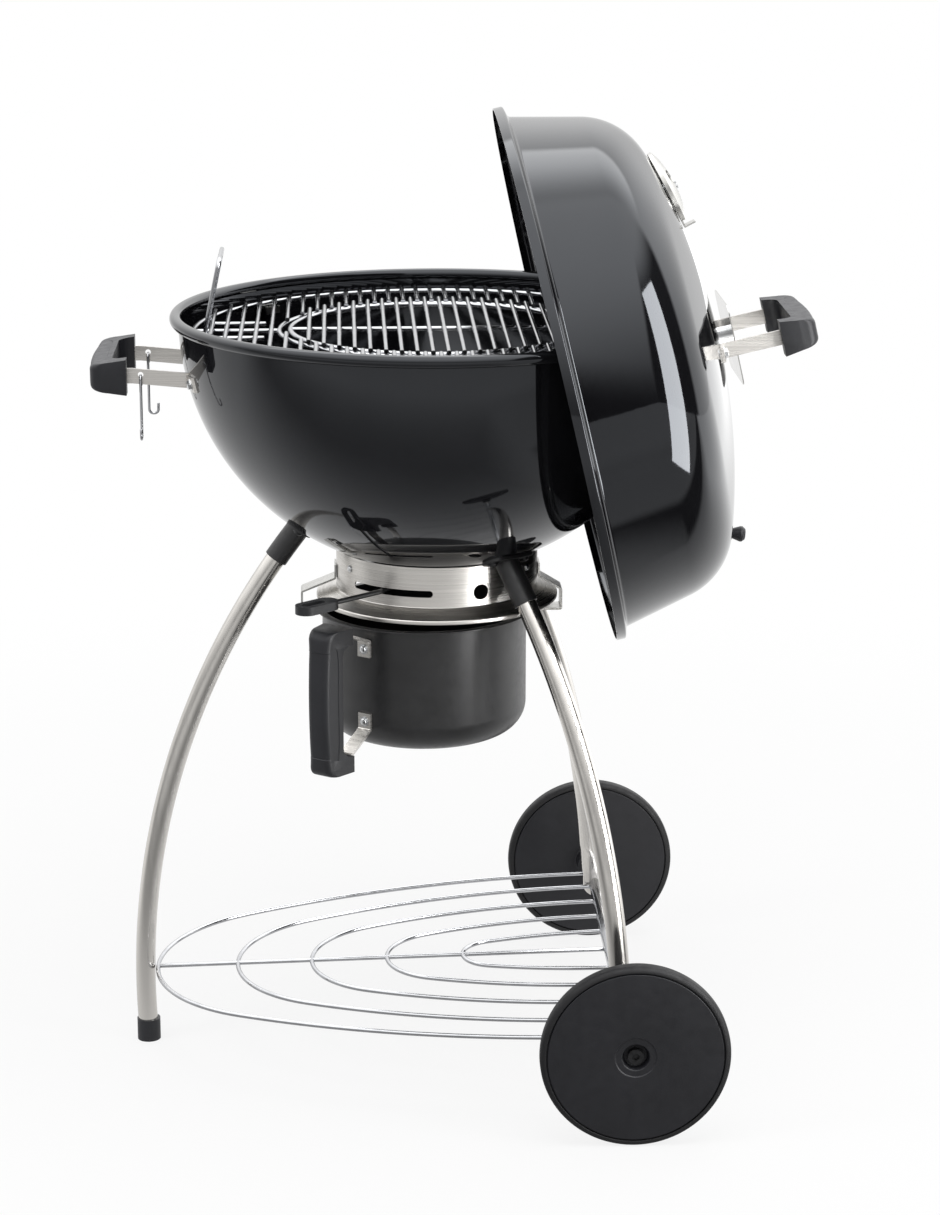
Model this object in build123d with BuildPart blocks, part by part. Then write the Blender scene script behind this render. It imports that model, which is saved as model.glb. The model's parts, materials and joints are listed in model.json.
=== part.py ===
"""Kettle charcoal grill on three legs, with its lid hung on the side of the bowl.

Millimetres, +Z up. The origin is on the ground, under the middle of the whole grill. +X points from
the bowl's handle to the hung lid, and the wheels stand at +X, one on each side.
"""

import os
from math import asin, atan2, cos, degrees, radians, sin, sqrt

from build123d import *

# Bowl: a half sphere with a rolled rim
BOWL_X = -17.95
RIM_Z = 830.0
BOWL_R = 276.0
BOWL_WALL = 2.0
BEAD_R = 6.5
BEAD_RING_R = 278.5
BEAD_Z = 828.5
ASH_OPENING_R = 58.0
ASH_OPENING_LONG = 62.0
ASH_OPENING_WIDE = 34.0

# Lid: hung on the rim, its axis pointing away from the bowl and tilted upwards
LID_TILT = 13.06
LID_FROM_BOWL = 127.6
LID_Z = 760.3
LID_FLANGE_R = 293.0
LID_FLANGE_H = 10.0
LID_WALL_R = 281.0
LID_WALL_S = 13.5
LID_CORNER_R = 253.9
LID_HEIGHT = 180.0
LID_DOME_R = 670.0
LID_SHOULDER_R = 79.0
LID_WALL = 1.6

# Lid vent and knob, by their distance from the lid's axis
VENT_AT_R = 171.0
VENT_R = 40.0
VENT_H = 12.0
VENT_SHEET = 1.5
VENT_HOLE_R = 8.0
VENT_HOLE_PCR = 22.0
VENT_GAP = 0.5
RIVET_R = 4.0
KNOB_AT_R = 214.0
KNOB_LONG = 21.0
KNOB_BASE_R = 7.0
KNOB_NECK_R = 5.0
KNOB_TOP_R = 8.5
KNOB_STUD_R = 2.5
VENT_TAB = (16.0, 8.0, 13.0)

# The lid's inner hook, that hangs it on the bowl's rim
HOOK_STRIP = (-15.0, 38.0)
HOOK_SHEET = 2.5
HOOK_WIDE = 30.0
HOOK_LIP_X = 11.5
HOOK_LIP_LEAN = 1.7
HOOK_LIP_DROP = 0.5

# Handle grip: one C-shaped moulding, used on the bowl, the lid and the ash can
GRIP_LONG = 159.0
GRIP_DEEP = 42.0
GRIP_END_DEEP = 37.0
GRIP_SPINE = 26.0
GRIP_LUG = 18.0
GRIP_INNER_H = 38.0
GRIP_OUTER_H = 26.0
ARM_AT = 66.0
ARM_H = 16.0
ARM_T = 3.0
ARM_IN_GRIP = 12.0
BOWL_GRIP_X = -327.5
BOWL_GRIP_Z = 777.0
BOWL_ARM_DROP = 7.0
LID_GRIP_S = 241.0
LID_GRIP_UP = -2.0
FOOT_LONG = 24.0
GRIP_SCOOP_R = 12.0
GRIP_CORNER_R = 9.0
GRIP_EDGE_R = 7.0
SHIELD_S = 192.5
SHIELD_T = 1.2
SHIELD_SIZE = (88.0, 118.0)
SHIELD_CORNER_R = 10.0
SHIELD_POST_AT = 34.0
SHIELD_POST_R = 6.0

# Grates
GRATE_Z = 812.0
GRATE_RING_R = 259.5
GRATE_INNER_R = 168.0
GRATE_WIRE_R = 3.0
BAR_R = 2.5
BAR_PITCH = 16.0
BAR_RISE = 4.5
BAR_PAST = 2.5
INSERT_R = 156.0
INSERT_BAR_R = 169.5
LOOP_HALF = 44.0
LOOP_FOOT = 247.0
LOOP_TOP = 229.0
LOOP_Z = 895.0
COAL_Z = 660.0
COAL_R = 198.0
COAL_PITCH = 20.0
GRATE_BARS = 31
INSERT_BARS = 18
COAL_BARS = 19
LOOP_BEND_R = 9.0
SUPPORT_WIDE = 20.0
SUPPORT_T = 2.0
REST_GAP = 0.3

# Ash ring under the bowl, with its lever slot
RING_R = 110.0
RING_WALL = 1.5
RING_TOP = 576.1
RING_FOOT = 530.0
SKIRT_R = 132.0
SKIRT_Z = 522.0
SKIRT_LIP = 3.0
SLOT_Z = 547.0
SLOT_H = 7.5
SLOT_FROM = 4.0
SLOT_TO = 55.0
DRAUGHT_HOLE_R = 8.6
DRAUGHT_HOLE_AT = -23.5

# Ash sweeper and its lever
SHAFT_R = 7.0
RUN_FIT = 0.05
BLADE_T = 1.8
BLADE_GAP = 0.6
BLADE_WIDE = 40.0
BLADE_REACH = 96.0
LEVER_R = 2.75
LEVER_AT = 33.7
LEVER_TURN = 15.0
LEVER_INNER = 116.0
LEVER_OUTER = 62.0
LEVER_GRIP_LONG = 52.0
LEVER_GRIP_WIDE = 24.0
LEVER_GRIP_T = 9.0
LEVER_IN_GRIP = 9.0
LEVER_BEND_R = 20.0
LEVER_HUB_H = 9.0
SHAFT_HEAD = 5.0
SHAFT_NUT = 6.0
BLADE_HUB_R = 22.0
BLADES_AT = 55.0

# Ash can and the clips that carry it
CAN_FROM_BOWL = -14.0
CAN_R = 112.0
CAN_WALL = 1.4
CAN_TOP = 507.0
CAN_FLOOR = 367.0
CAN_CORNER = 33.0
CAN_RIM_R = 119.0
CAN_LUG_R = 127.0
CAN_RIM_T = 2.0
CAN_LUG_WIDE = 26.0
CLIP_WIDE = 28.0
CLIP_T = 2.0
CAN_HANDLE_AT = 36.0
CAN_GRIP_RHO = 160.0
CAN_GRIP_Z = 440.0
BRACKET_Z = (483.0, 402.0)
BRACKET_TAB = 9.0
CLIP_TOP = 556.0
CLIP_BEND = 541.0
CLIP_LEFT_X = -148.0
CLIP_LEFT_LIP = -130.0
CLIP_RIGHT_X = 136.0
CLIP_RIGHT_LIP = 103.0

# Legs: one arc, the rear pair set closer to the axis and cut shorter
LEG_R = 11.0
LEG_WALL = 1.5
LEG_ARC_R = 857.0
LEG_ARC_IN = -526.3
LEG_ARC_Z = 69.6
LEG_TOP = 590.0
REAR_LEG_TOP = 566.0
FRONT_LEG_END = 6.0
REAR_LEG_END = 152.0
REAR_LEG_AT = 44.6
REAR_LEG_ASIDE = 17.5
REAR_LEG_CLOSER = 46.7
SOCKET_R = 13.0
SOCKET_LONG = 29.0
SOCKET_PAST = 22.0
SOCKET_SHEET = 3.0
SOCKET_PLATE = (66.0, 30.0)
SOCKET_BOLT_AT = 24.0
FOOT_R = 13.0
FOOT_H = 25.0

# Wheels, axle and shelf
WHEEL_R = 100.0
WHEEL_FACE_R = 93.6
WHEEL_FACE_Y = 311.0
WHEEL_T = 18.0
HUB_R = 17.0
HUB_LONG = 22.0
GROOVE = 1.4
AXLE_FROM_BOWL = 196.0
AXLE_R = 5.0
HUB_RECESS_R = 14.5
HUB_RECESS = 9.0
TAB_WIDE = 30.0
TAB_T = 8.0
TAB_TOP = 114.0
TYRE_EDGE_R = 5.5
SPACER_R = 8.0
AXLE_SCREW_R = 8.3
AXLE_SCREW_H = 6.0
SLEEVE_PAST = 3.0
SHELF_WIRE_R = 2.5
SHELF_FRONT_Z = 87.0
SHELF_REAR_Z = 99.0
SHELF_TIPS = (-316.5, -226.5, -143.0, -58.0, 28.0)
SHELF_HALVES = (250.0, 204.0, 154.0, 105.0, 56.0)
SHELF_TIP_SHARE = 0.68

# Bolts, rivets and seats
SEAT_GAP = 0.1
SEAT_LIFT = 0.5
BOLT_R = 3.0
BOLT_HEAD_R = 5.5
BOLT_HEAD = 4.0
BOLT_LONG = 9.0
SCREW_R = 2.0
SCREW_HEAD_R = 4.5
RING_RIVET_R = 4.0
RING_RIVET_Z = 562.0
RING_RIVETS_AT = (60.0, 180.0, -60.0)
RIVET_HEAD_R = 7.0

# S-hooks in the bowl handle's arms
HOOK_BEND = 5.0
HOOK_TIP = 11.0
HOOK_R = 1.5
HOOK_FROM_BOWL = -313.0
HOOK_DROP = 66.0
HOOK_HOLE_R = 3.0

os.makedirs("parts", exist_ok=True)


def keep(builder, name):
    """Label a finished piece and write it."""
    builder.part.label = name
    export_step(builder.part, f"parts/{name}.step")


# Planes and axes that several pieces share
bowl_section = Plane(origin=(BOWL_X, 0, 0), x_dir=(1, 0, 0), z_dir=(0, -1, 0))
bowl_axis = Axis((BOWL_X, 0, 0), (0, 0, 1))
bowl_centre = Vector(BOWL_X, 0, RIM_Z)

lid_centre = Vector(BOWL_X + LID_FROM_BOWL, 0, LID_Z)
lid_out = Vector(cos(radians(LID_TILT)), 0, sin(radians(LID_TILT)))
lid_up = Vector(-sin(radians(LID_TILT)), 0, cos(radians(LID_TILT)))
lid_section = Plane(origin=lid_centre, x_dir=lid_up, z_dir=(0, 1, 0))
lid_axis = Axis(lid_centre, lid_out)

can_x = BOWL_X + CAN_FROM_BOWL
can_section = Plane(origin=(can_x, 0, 0), x_dir=(1, 0, 0), z_dir=(0, -1, 0))
can_axis = Axis((can_x, 0, 0), (0, 0, 1))

axle_x = BOWL_X + AXLE_FROM_BOWL


def lid_point(r, s):
    """A point of the lid's middle plane, r up from its axis and s out from its rim."""
    return lid_centre + lid_up * r + lid_out * s


def dome_s(r, inset=0.0):
    """How far the lid's dome stands out of its rim plane, at r from the axis."""
    radius = LID_DOME_R - inset
    return LID_HEIGHT - inset - radius + sqrt(radius**2 - r**2)


# Where the bolts go: each plane lies on the surface under a bolt's head, its z pointing out of it
lid_dome_centre = lid_point(0, LID_HEIGHT - LID_DOME_R)
foot_mid = ARM_AT + FOOT_LONG / 2
SIDES = (("near", -1), ("far", 1))


def on_bowl(direction, lift):
    """A plane on the bowl's outside, where a direction from its centre leaves it."""
    away = Vector(*direction).normalized()
    return Plane(origin=bowl_centre + away * (BOWL_R + lift), z_dir=away)


def on_lid(up, aside, lift):
    """A plane on the lid's dome, above a place of its crown."""
    out = sqrt(LID_DOME_R**2 - up**2 - aside**2)
    away = (lid_up * up + Vector(0, aside, 0) + lid_out * out).normalized()
    return Plane(origin=lid_dome_centre + away * (LID_DOME_R + lift), z_dir=away)


bowl_arm_z = BOWL_GRIP_Z - BOWL_ARM_DROP
bowl_arm_x = -sqrt(BOWL_R**2 - (RIM_Z - bowl_arm_z) ** 2 - foot_mid**2)
bowl_handle_at = [
    on_bowl((bowl_arm_x, side * foot_mid, bowl_arm_z - RIM_Z), SEAT_GAP + ARM_T) for _, side in SIDES
]
lid_handle_at = [on_lid(LID_GRIP_UP, side * foot_mid, SEAT_GAP + ARM_T) for _, side in SIDES]
vent_plane = on_lid(VENT_AT_R, 0, 0)
knob_plane = on_lid(-KNOB_AT_R, 0, 0)

can_handle_out = Vector(-sin(radians(CAN_HANDLE_AT)), -cos(radians(CAN_HANDLE_AT)), 0)
can_handle_side = can_handle_out.cross(Vector(0, 0, 1))
can_screws_at = [
    Plane(
        origin=Vector(can_x, 0, z) + can_handle_out * (CAN_R + SEAT_GAP + ARM_T),
        z_dir=can_handle_out,
    )
    for z in BRACKET_Z
]

rear_a = radians(REAR_LEG_AT)
leg_planes = {
    "front": Plane(origin=(BOWL_X, 0, 0), x_dir=(-1, 0, 0), z_dir=(0, 1, 0)),
    "near": Plane(
        origin=(BOWL_X, 0, 0), x_dir=(cos(rear_a), -sin(rear_a), 0), z_dir=(-sin(rear_a), -cos(rear_a), 0)
    ).offset(REAR_LEG_ASIDE),
    "far": Plane(
        origin=(BOWL_X, 0, 0), x_dir=(cos(rear_a), sin(rear_a), 0), z_dir=(sin(rear_a), -cos(rear_a), 0)
    ).offset(-REAR_LEG_ASIDE),
}
leg_closer = {"front": 0.0, "near": REAR_LEG_CLOSER, "far": REAR_LEG_CLOSER}
leg_top = {"front": LEG_TOP, "near": REAR_LEG_TOP, "far": REAR_LEG_TOP}


def leg_turn(z):
    """The angle on the leg's arc at a height."""
    return degrees(asin((z - LEG_ARC_Z) / LEG_ARC_R))


def leg_reach(name, z):
    """How far out of its plane's origin a leg's middle line stands at a height."""
    return LEG_ARC_IN - leg_closer[name] + sqrt(LEG_ARC_R**2 - (z - LEG_ARC_Z) ** 2)


def leg_place(name, z):
    """The point of a leg's middle line at a height."""
    return leg_planes[name].from_local_coords(Vector(leg_reach(name, z), z, 0))


def socket_bolt_planes(name):
    """The planes of a socket's two bolts, one on each ear of its plate."""
    to_leg = (leg_place(name, leg_top[name]) - bowl_centre).normalized()
    aside = leg_planes[name].z_dir
    turn = SOCKET_BOLT_AT / BOWL_R
    return [on_bowl(to_leg * cos(a) + aside * sin(a), SEAT_GAP + SOCKET_SHEET) for a in (turn, -turn)]


socket_bolts_at = [plane for name in leg_planes for plane in socket_bolt_planes(name)]


def drill(planes, radius, depth=8.0):
    """Round holes through the piece being built, one at each plane."""
    for plane in planes:
        with BuildSketch(plane) as hole:
            Circle(radius)
        extrude(hole.sketch, amount=depth, both=True, mode=Mode.SUBTRACT)


def bolt_group(planes, head_r, head_h, shank_r, shank):
    """Hexagon bolts, one at each plane."""
    with BuildPart() as group:
        for plane in planes:
            with BuildSketch(plane):
                RegularPolygon(head_r, 6)
            extrude(amount=head_h)
            with BuildSketch(plane):
                Circle(shank_r)
            extrude(amount=-shank)
    return group


def screw_group(planes, head_r, head_h, shank_r, shank):
    """Screws with a low round head, one at each plane."""
    with BuildPart() as group:
        for plane in planes:
            section = Plane(origin=plane.origin, x_dir=plane.x_dir, z_dir=-plane.y_dir)
            with BuildSketch(section):
                with BuildLine():
                    flat_r = head_r / 4
                    Polyline(
                        (flat_r, head_h),
                        (0, head_h),
                        (0, -shank),
                        (shank_r, -shank),
                        (shank_r, 0),
                        (head_r, 0),
                    )
                    ThreePointArc((head_r, 0), (head_r * 0.75, head_h * 0.68), (flat_r, head_h))
                make_face()
            revolve(axis=Axis(plane.origin, plane.z_dir))
    return group


# The bowl
with BuildPart() as bowl:
    with BuildSketch(bowl_section):
        with BuildLine():
            outer = CenterArc((0, RIM_Z), BOWL_R, -90, 90)
            inner = CenterArc((0, RIM_Z), BOWL_R - BOWL_WALL, -90, 90)
            Line(outer @ 0, inner @ 0)
            Line(outer @ 1, inner @ 1)
        make_face()
        with Locations((BEAD_RING_R, BEAD_Z)):
            Circle(BEAD_R)
    revolve(axis=bowl_axis)
    with BuildSketch(Plane.XY.offset(RING_FOOT)):
        with Locations((BOWL_X, 0)):
            Circle(SHAFT_R + RUN_FIT)
            with PolarLocations(ASH_OPENING_R, 3, start_angle=30):
                SlotOverall(ASH_OPENING_LONG, ASH_OPENING_WIDE)
    extrude(amount=RIM_Z - RING_FOOT - BOWL_R / 2, mode=Mode.SUBTRACT)
    drill(bowl_handle_at + socket_bolts_at, BOLT_R + SEAT_GAP)
keep(bowl, "bowl")


# Supports for the two grates, welded inside the bowl
def grate_supports(top_z, ring_r, reach):
    """Four ledges under a grate's ring, reaching the bowl's wall."""
    inner_r = BOWL_R - BOWL_WALL
    wall_r = sqrt(inner_r**2 - (RIM_Z - top_z + SUPPORT_T) ** 2) - 0.3
    long = wall_r - ring_r + reach
    with BuildPart() as ledges:
        with BuildSketch(Plane.XY.offset(top_z - SUPPORT_T)):
            with Locations((BOWL_X, 0)):
                with PolarLocations(wall_r - long / 2, 4, start_angle=45):
                    Rectangle(long, SUPPORT_WIDE)
        extrude(amount=SUPPORT_T)
        lip_r = wall_r - long + SUPPORT_T / 2
        with BuildSketch(Plane.XY.offset(top_z - 4 * SUPPORT_T)):
            with Locations((BOWL_X, 0)):
                with PolarLocations(lip_r, 4, start_angle=45):
                    Rectangle(SUPPORT_T, SUPPORT_WIDE)
        extrude(amount=4 * SUPPORT_T)
    return ledges


keep(grate_supports(GRATE_Z - GRATE_WIRE_R - REST_GAP, GRATE_RING_R, 8.0), "grate_supports")
keep(grate_supports(COAL_Z - GRATE_WIRE_R - REST_GAP, COAL_R, 8.0), "coal_supports")


# Grates
def bars(count, pitch, reach, bar_z, hole=0.0):
    """A row of bars along Y, cut to a circle and, where asked, to the band outside a hole in it."""
    with BuildSketch(Plane.XZ) as ends:
        with Locations((BOWL_X, bar_z)):
            with GridLocations(pitch, 1, count, 1):
                Circle(BAR_R)
    extrude(ends.sketch, amount=reach, both=True)
    with BuildSketch(Plane.XY.offset(bar_z - 2 * BAR_R)) as band:
        with Locations((BOWL_X, 0)):
            Circle(reach)
            if hole:
                Circle(hole, mode=Mode.SUBTRACT)
    extrude(band.sketch, amount=4 * BAR_R, mode=Mode.INTERSECT)


def ring_wire(ring_r, wire_r, z):
    """A closed wire ring around the bowl's axis."""
    with BuildSketch(bowl_section) as wire:
        with Locations((ring_r, z)):
            Circle(wire_r)
    revolve(wire.sketch, axis=bowl_axis)


def cross_wire(from_x, to_x, wire_r, z):
    """A straight wire along X through the bowl's axis plane."""
    with BuildSketch(Plane(origin=(BOWL_X + from_x, 0, z), z_dir=(1, 0, 0))) as wire:
        Circle(wire_r)
    extrude(wire.sketch, amount=to_x - from_x)


with BuildPart() as cooking_grate:
    bars(GRATE_BARS, BAR_PITCH, GRATE_RING_R + BAR_PAST, GRATE_Z + BAR_RISE, hole=GRATE_INNER_R - BAR_PAST)
    ring_wire(GRATE_RING_R, GRATE_WIRE_R, GRATE_Z)
    ring_wire(GRATE_INNER_R, GRATE_WIRE_R, GRATE_Z)
    for side in (-1, 1):
        inner_end = BOWL_X + side * (GRATE_INNER_R + BAR_PITCH)
        foot = BOWL_X + side * LOOP_FOOT
        top = BOWL_X + side * LOOP_TOP
        with BuildLine() as loop:
            FilletPolyline(
                (inner_end, -LOOP_HALF, GRATE_Z),
                (foot, -LOOP_HALF, GRATE_Z),
                (top, -LOOP_HALF, LOOP_Z),
                (top, LOOP_HALF, LOOP_Z),
                (foot, LOOP_HALF, GRATE_Z),
                (inner_end, LOOP_HALF, GRATE_Z),
                radius=LOOP_BEND_R,
            )
        with BuildSketch(Plane(origin=loop.line @ 0, z_dir=loop.line % 0)):
            Circle(BAR_R)
        sweep()
    cross_wire(-GRATE_RING_R, -GRATE_INNER_R, BAR_R, GRATE_Z)
    cross_wire(GRATE_INNER_R, GRATE_RING_R, BAR_R, GRATE_Z)
keep(cooking_grate, "cooking_grate")

insert_bar_z = GRATE_Z + GRATE_WIRE_R + BAR_R + REST_GAP
with BuildPart() as grate_insert:
    bars(INSERT_BARS, BAR_PITCH, INSERT_BAR_R, insert_bar_z)
    ring_wire(INSERT_R, GRATE_WIRE_R, insert_bar_z - BAR_RISE)
    cross_wire(-INSERT_R, INSERT_R, BAR_R, insert_bar_z - BAR_RISE)
keep(grate_insert, "grate_insert")

with BuildPart() as coal_grate:
    bars(COAL_BARS, COAL_PITCH, COAL_R + BAR_PAST, COAL_Z + BAR_RISE)
    ring_wire(COAL_R, GRATE_WIRE_R, COAL_Z)
    cross_wire(-COAL_R, COAL_R, BAR_R, COAL_Z)
keep(coal_grate, "coal_grate")


# The lid, its vent, knob and hook
with BuildPart() as lid_shell:
    for inset, mode in ((0.0, Mode.ADD), (LID_WALL, Mode.SUBTRACT)):
        flange_r = LID_FLANGE_R - inset
        corner_r = LID_CORNER_R - inset
        with BuildSketch(lid_section) as section:
            with BuildLine():
                Polyline(
                    (0, dome_s(0, inset)),
                    (0, -inset),
                    (flange_r, -inset),
                    (flange_r, LID_FLANGE_H - inset),
                    (LID_WALL_R - inset, LID_WALL_S - inset),
                    (corner_r, dome_s(corner_r, inset)),
                )
                half_r = corner_r / 2
                ThreePointArc(
                    (corner_r, dome_s(corner_r, inset)),
                    (half_r, dome_s(half_r, inset)),
                    (0, dome_s(0, inset)),
                )
            make_face()
            fillet(section.vertices().sort_by(Axis.Y)[-2], LID_SHOULDER_R - inset)
        revolve(axis=lid_axis, mode=mode)
    drill(lid_handle_at, BOLT_R + SEAT_GAP)
    with BuildSketch(vent_plane):
        Circle(RIVET_R + RUN_FIT)
        with PolarLocations(VENT_HOLE_PCR, 3):
            Circle(VENT_HOLE_R)
    extrude(amount=4 * LID_WALL, both=True, mode=Mode.SUBTRACT)
    drill([knob_plane], KNOB_STUD_R + SEAT_GAP)
keep(lid_shell, "lid_shell")

vent_section = Plane(origin=vent_plane.origin, x_dir=(0, 1, 0), z_dir=Vector(0, 1, 0).cross(vent_plane.z_dir))
vent_axis = Axis(vent_plane.origin, vent_plane.z_dir)
vent_down = Vector(0, 1, 0).cross(vent_plane.z_dir)
if vent_down.dot(lid_up) > 0:
    vent_down = -vent_down
with BuildPart() as vent_damper:
    with BuildSketch(vent_section):
        with BuildLine():
            bore = RIVET_R + RUN_FIT
            Polyline((VENT_R - VENT_SHEET, VENT_GAP), (VENT_R, VENT_GAP), (VENT_R, VENT_H * 0.4))
            ThreePointArc((VENT_R, VENT_H * 0.4), (VENT_R * 0.6, VENT_H * 0.86), (bore, VENT_H))
            Line((bore, VENT_H), (bore, VENT_H - VENT_SHEET))
            inner_r = VENT_R - VENT_SHEET
            inner_h = VENT_H * 0.4 - VENT_SHEET / 2
            ThreePointArc((bore, VENT_H - VENT_SHEET), (VENT_R * 0.58, VENT_H * 0.74), (inner_r, inner_h))
            Line((inner_r, inner_h), (inner_r, VENT_GAP))
        make_face()
    revolve(axis=vent_axis)
    with BuildSketch(vent_plane):
        with PolarLocations(VENT_HOLE_PCR, 3, start_angle=60):
            Circle(VENT_HOLE_R)
    extrude(amount=2 * VENT_H, mode=Mode.SUBTRACT)
    tab_foot = vent_plane.origin + vent_down * (VENT_R + VENT_TAB[1] / 2 - VENT_SHEET / 2)
    tab_lift = vent_plane.z_dir * VENT_GAP
    with BuildSketch(Plane(origin=tab_foot + tab_lift, x_dir=(0, 1, 0), z_dir=vent_plane.z_dir)):
        Rectangle(VENT_TAB[0], VENT_TAB[1])
    extrude(amount=VENT_SHEET)
    tab_end = vent_plane.origin + vent_down * (VENT_R + VENT_TAB[1] - VENT_SHEET)
    with BuildSketch(Plane(origin=tab_end + tab_lift, x_dir=(0, 1, 0), z_dir=vent_plane.z_dir)):
        Rectangle(VENT_TAB[0], VENT_SHEET)
    extrude(amount=VENT_TAB[2])
keep(vent_damper, "vent_damper")

with BuildPart() as vent_rivet:
    with BuildSketch(vent_plane):
        Circle(RIVET_R)
    extrude(amount=VENT_H + SEAT_LIFT)
    with BuildSketch(vent_plane):
        Circle(RIVET_R)
    extrude(amount=-2 * LID_WALL)
    with BuildSketch(vent_plane.offset(VENT_H + SEAT_LIFT)):
        Circle(RIVET_HEAD_R)
    extrude(amount=VENT_SHEET)
keep(vent_rivet, "vent_rivet")

knob_section = Plane(origin=knob_plane.origin, x_dir=knob_plane.x_dir, z_dir=-knob_plane.y_dir)
with BuildPart() as lid_knob:
    with BuildSketch(knob_section):
        with BuildLine():
            Polyline(
                (0, KNOB_LONG),
                (0, -2 * LID_WALL),
                (KNOB_STUD_R, -2 * LID_WALL),
                (KNOB_STUD_R, 0),
                (KNOB_BASE_R, 0),
                (KNOB_NECK_R, KNOB_LONG * 0.25),
                (KNOB_TOP_R, KNOB_LONG * 0.75),
                (KNOB_TOP_R, KNOB_LONG * 0.85),
                (KNOB_TOP_R * 0.7, KNOB_LONG),
                close=True,
            )
        make_face()
    revolve(axis=Axis(knob_plane.origin, knob_plane.z_dir))
keep(lid_knob, "lid_knob")

bead = Vector(BOWL_X + BEAD_RING_R, 0, BEAD_Z)
hook_outer_s = dome_s(HOOK_STRIP[1] + 2 * LID_WALL, LID_WALL) - REST_GAP
with BuildPart() as lid_hook:
    under = BEAD_R + REST_GAP
    strip_inner_s = hook_outer_s - HOOK_SHEET
    inner_turn = lid_point(0, strip_inner_s)
    turn_r = (bead.Z + under - inner_turn.Z) / lid_up.Z
    outline = [
        lid_point(HOOK_STRIP[0], hook_outer_s),
        lid_point(HOOK_STRIP[1], hook_outer_s),
        bead + Vector(-HOOK_LIP_X, 0, under + HOOK_SHEET),
        bead + Vector(-HOOK_LIP_X - HOOK_LIP_LEAN, 0, -HOOK_LIP_DROP),
        bead + Vector(-HOOK_LIP_X - HOOK_LIP_LEAN + HOOK_SHEET, 0, -HOOK_LIP_DROP),
        bead + Vector(-HOOK_LIP_X + HOOK_SHEET, 0, under),
        lid_point(turn_r, strip_inner_s),
        lid_point(HOOK_STRIP[0], strip_inner_s),
    ]
    with BuildSketch(Plane.XZ):
        with BuildLine():
            Polyline([(p.X, p.Z) for p in outline], close=True)
        make_face()
    extrude(amount=HOOK_WIDE / 2, both=True)
keep(lid_hook, "lid_hook")


# Handles
def grip(plane):
    """The C-shaped moulding. The plane's origin lies between its arms, x points out and y along it."""
    half = GRIP_LONG / 2
    gap = GRIP_DEEP - GRIP_SPINE
    across = Plane(origin=plane.origin, x_dir=plane.x_dir, z_dir=plane.y_dir)
    inward = Plane(origin=plane.origin, x_dir=plane.y_dir, z_dir=plane.x_dir)
    with BuildPart() as moulding:
        with BuildSketch(plane) as plan:
            with BuildLine():
                Polyline(
                    (GRIP_END_DEEP, -half),
                    (0, -half),
                    (0, GRIP_LUG - half),
                    (gap, GRIP_LUG - half),
                    (gap, half - GRIP_LUG),
                    (0, half - GRIP_LUG),
                    (0, half),
                    (GRIP_END_DEEP, half),
                )
                ThreePointArc((GRIP_END_DEEP, half), (GRIP_DEEP, 0), (GRIP_END_DEEP, -half))
            make_face()
            corners = plan.vertices()
            fillet(corners.filter_by_position(Axis.X, gap - 1, gap + 1), GRIP_SCOOP_R)
            outer_corners = plan.vertices().filter_by_position(Axis.X, GRIP_END_DEEP - 1, GRIP_END_DEEP + 1)
            fillet(outer_corners, GRIP_CORNER_R)
        extrude(amount=GRIP_INNER_H / 2, both=True)
        with BuildSketch(across) as profile:
            with BuildLine():
                Polyline(
                    (0, GRIP_INNER_H / 2),
                    (GRIP_DEEP, GRIP_OUTER_H / 2),
                    (GRIP_DEEP, -GRIP_OUTER_H / 2),
                    (0, -GRIP_INNER_H / 2),
                    close=True,
                )
            make_face()
            fillet(profile.vertices().group_by(Axis.X)[-1], GRIP_EDGE_R)
        extrude(amount=GRIP_LONG, both=True, mode=Mode.INTERSECT)
        with BuildSketch(inward):
            with Locations((-ARM_AT, 0), (ARM_AT, 0)):
                Rectangle(ARM_T + 2 * SEAT_GAP, ARM_H + 2 * SEAT_GAP)
        extrude(amount=ARM_IN_GRIP + SEAT_GAP, mode=Mode.SUBTRACT)
    return moulding


bowl_grip_origin = Vector(BOWL_X + BOWL_GRIP_X, 0, BOWL_GRIP_Z)
keep(grip(Plane(origin=bowl_grip_origin, x_dir=(-1, 0, 0), z_dir=(0, 0, 1))), "bowl_grip")

for name, side in SIDES:
    with BuildPart() as bowl_arm:
        with Locations(bowl_centre):
            Sphere(BOWL_R + SEAT_GAP + ARM_T)
        foot_y = side * (ARM_AT - ARM_T / 2)
        foot_plane = Plane(
            origin=(BOWL_X - BOWL_R, foot_y, bowl_arm_z), x_dir=(1, 0, 0), z_dir=(0, -1, 0)
        )
        with BuildSketch(foot_plane):
            Rectangle(BOWL_R / 2, ARM_H)
        extrude(amount=-side * FOOT_LONG, mode=Mode.INTERSECT)
        with BuildSketch(foot_plane):
            grip_end = BOWL_GRIP_X + BOWL_R - ARM_IN_GRIP
            bend = BOWL_GRIP_X + BOWL_R + 2 * ARM_T
            rise = BOWL_ARM_DROP
            with BuildLine():
                Polyline(
                    (BOWL_R / 10, ARM_H / 2),
                    (bend, rise + ARM_H / 2),
                    (grip_end, rise + ARM_H / 2),
                    (grip_end, rise - ARM_H / 2),
                    (bend, rise - ARM_H / 2),
                    (BOWL_R / 10, -ARM_H / 2),
                    close=True,
                )
            make_face()
            with Locations((HOOK_FROM_BOWL + BOWL_R, rise + HOOK_HOLE_R - HOOK_R - REST_GAP)):
                Circle(HOOK_HOLE_R, mode=Mode.SUBTRACT)
        extrude(amount=-side * ARM_T)
        with Locations(bowl_centre):
            Sphere(BOWL_R + SEAT_GAP, mode=Mode.SUBTRACT)
        drill(bowl_handle_at, BOLT_R + SEAT_GAP)
    keep(bowl_arm, f"bowl_arm_{name}")
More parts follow.
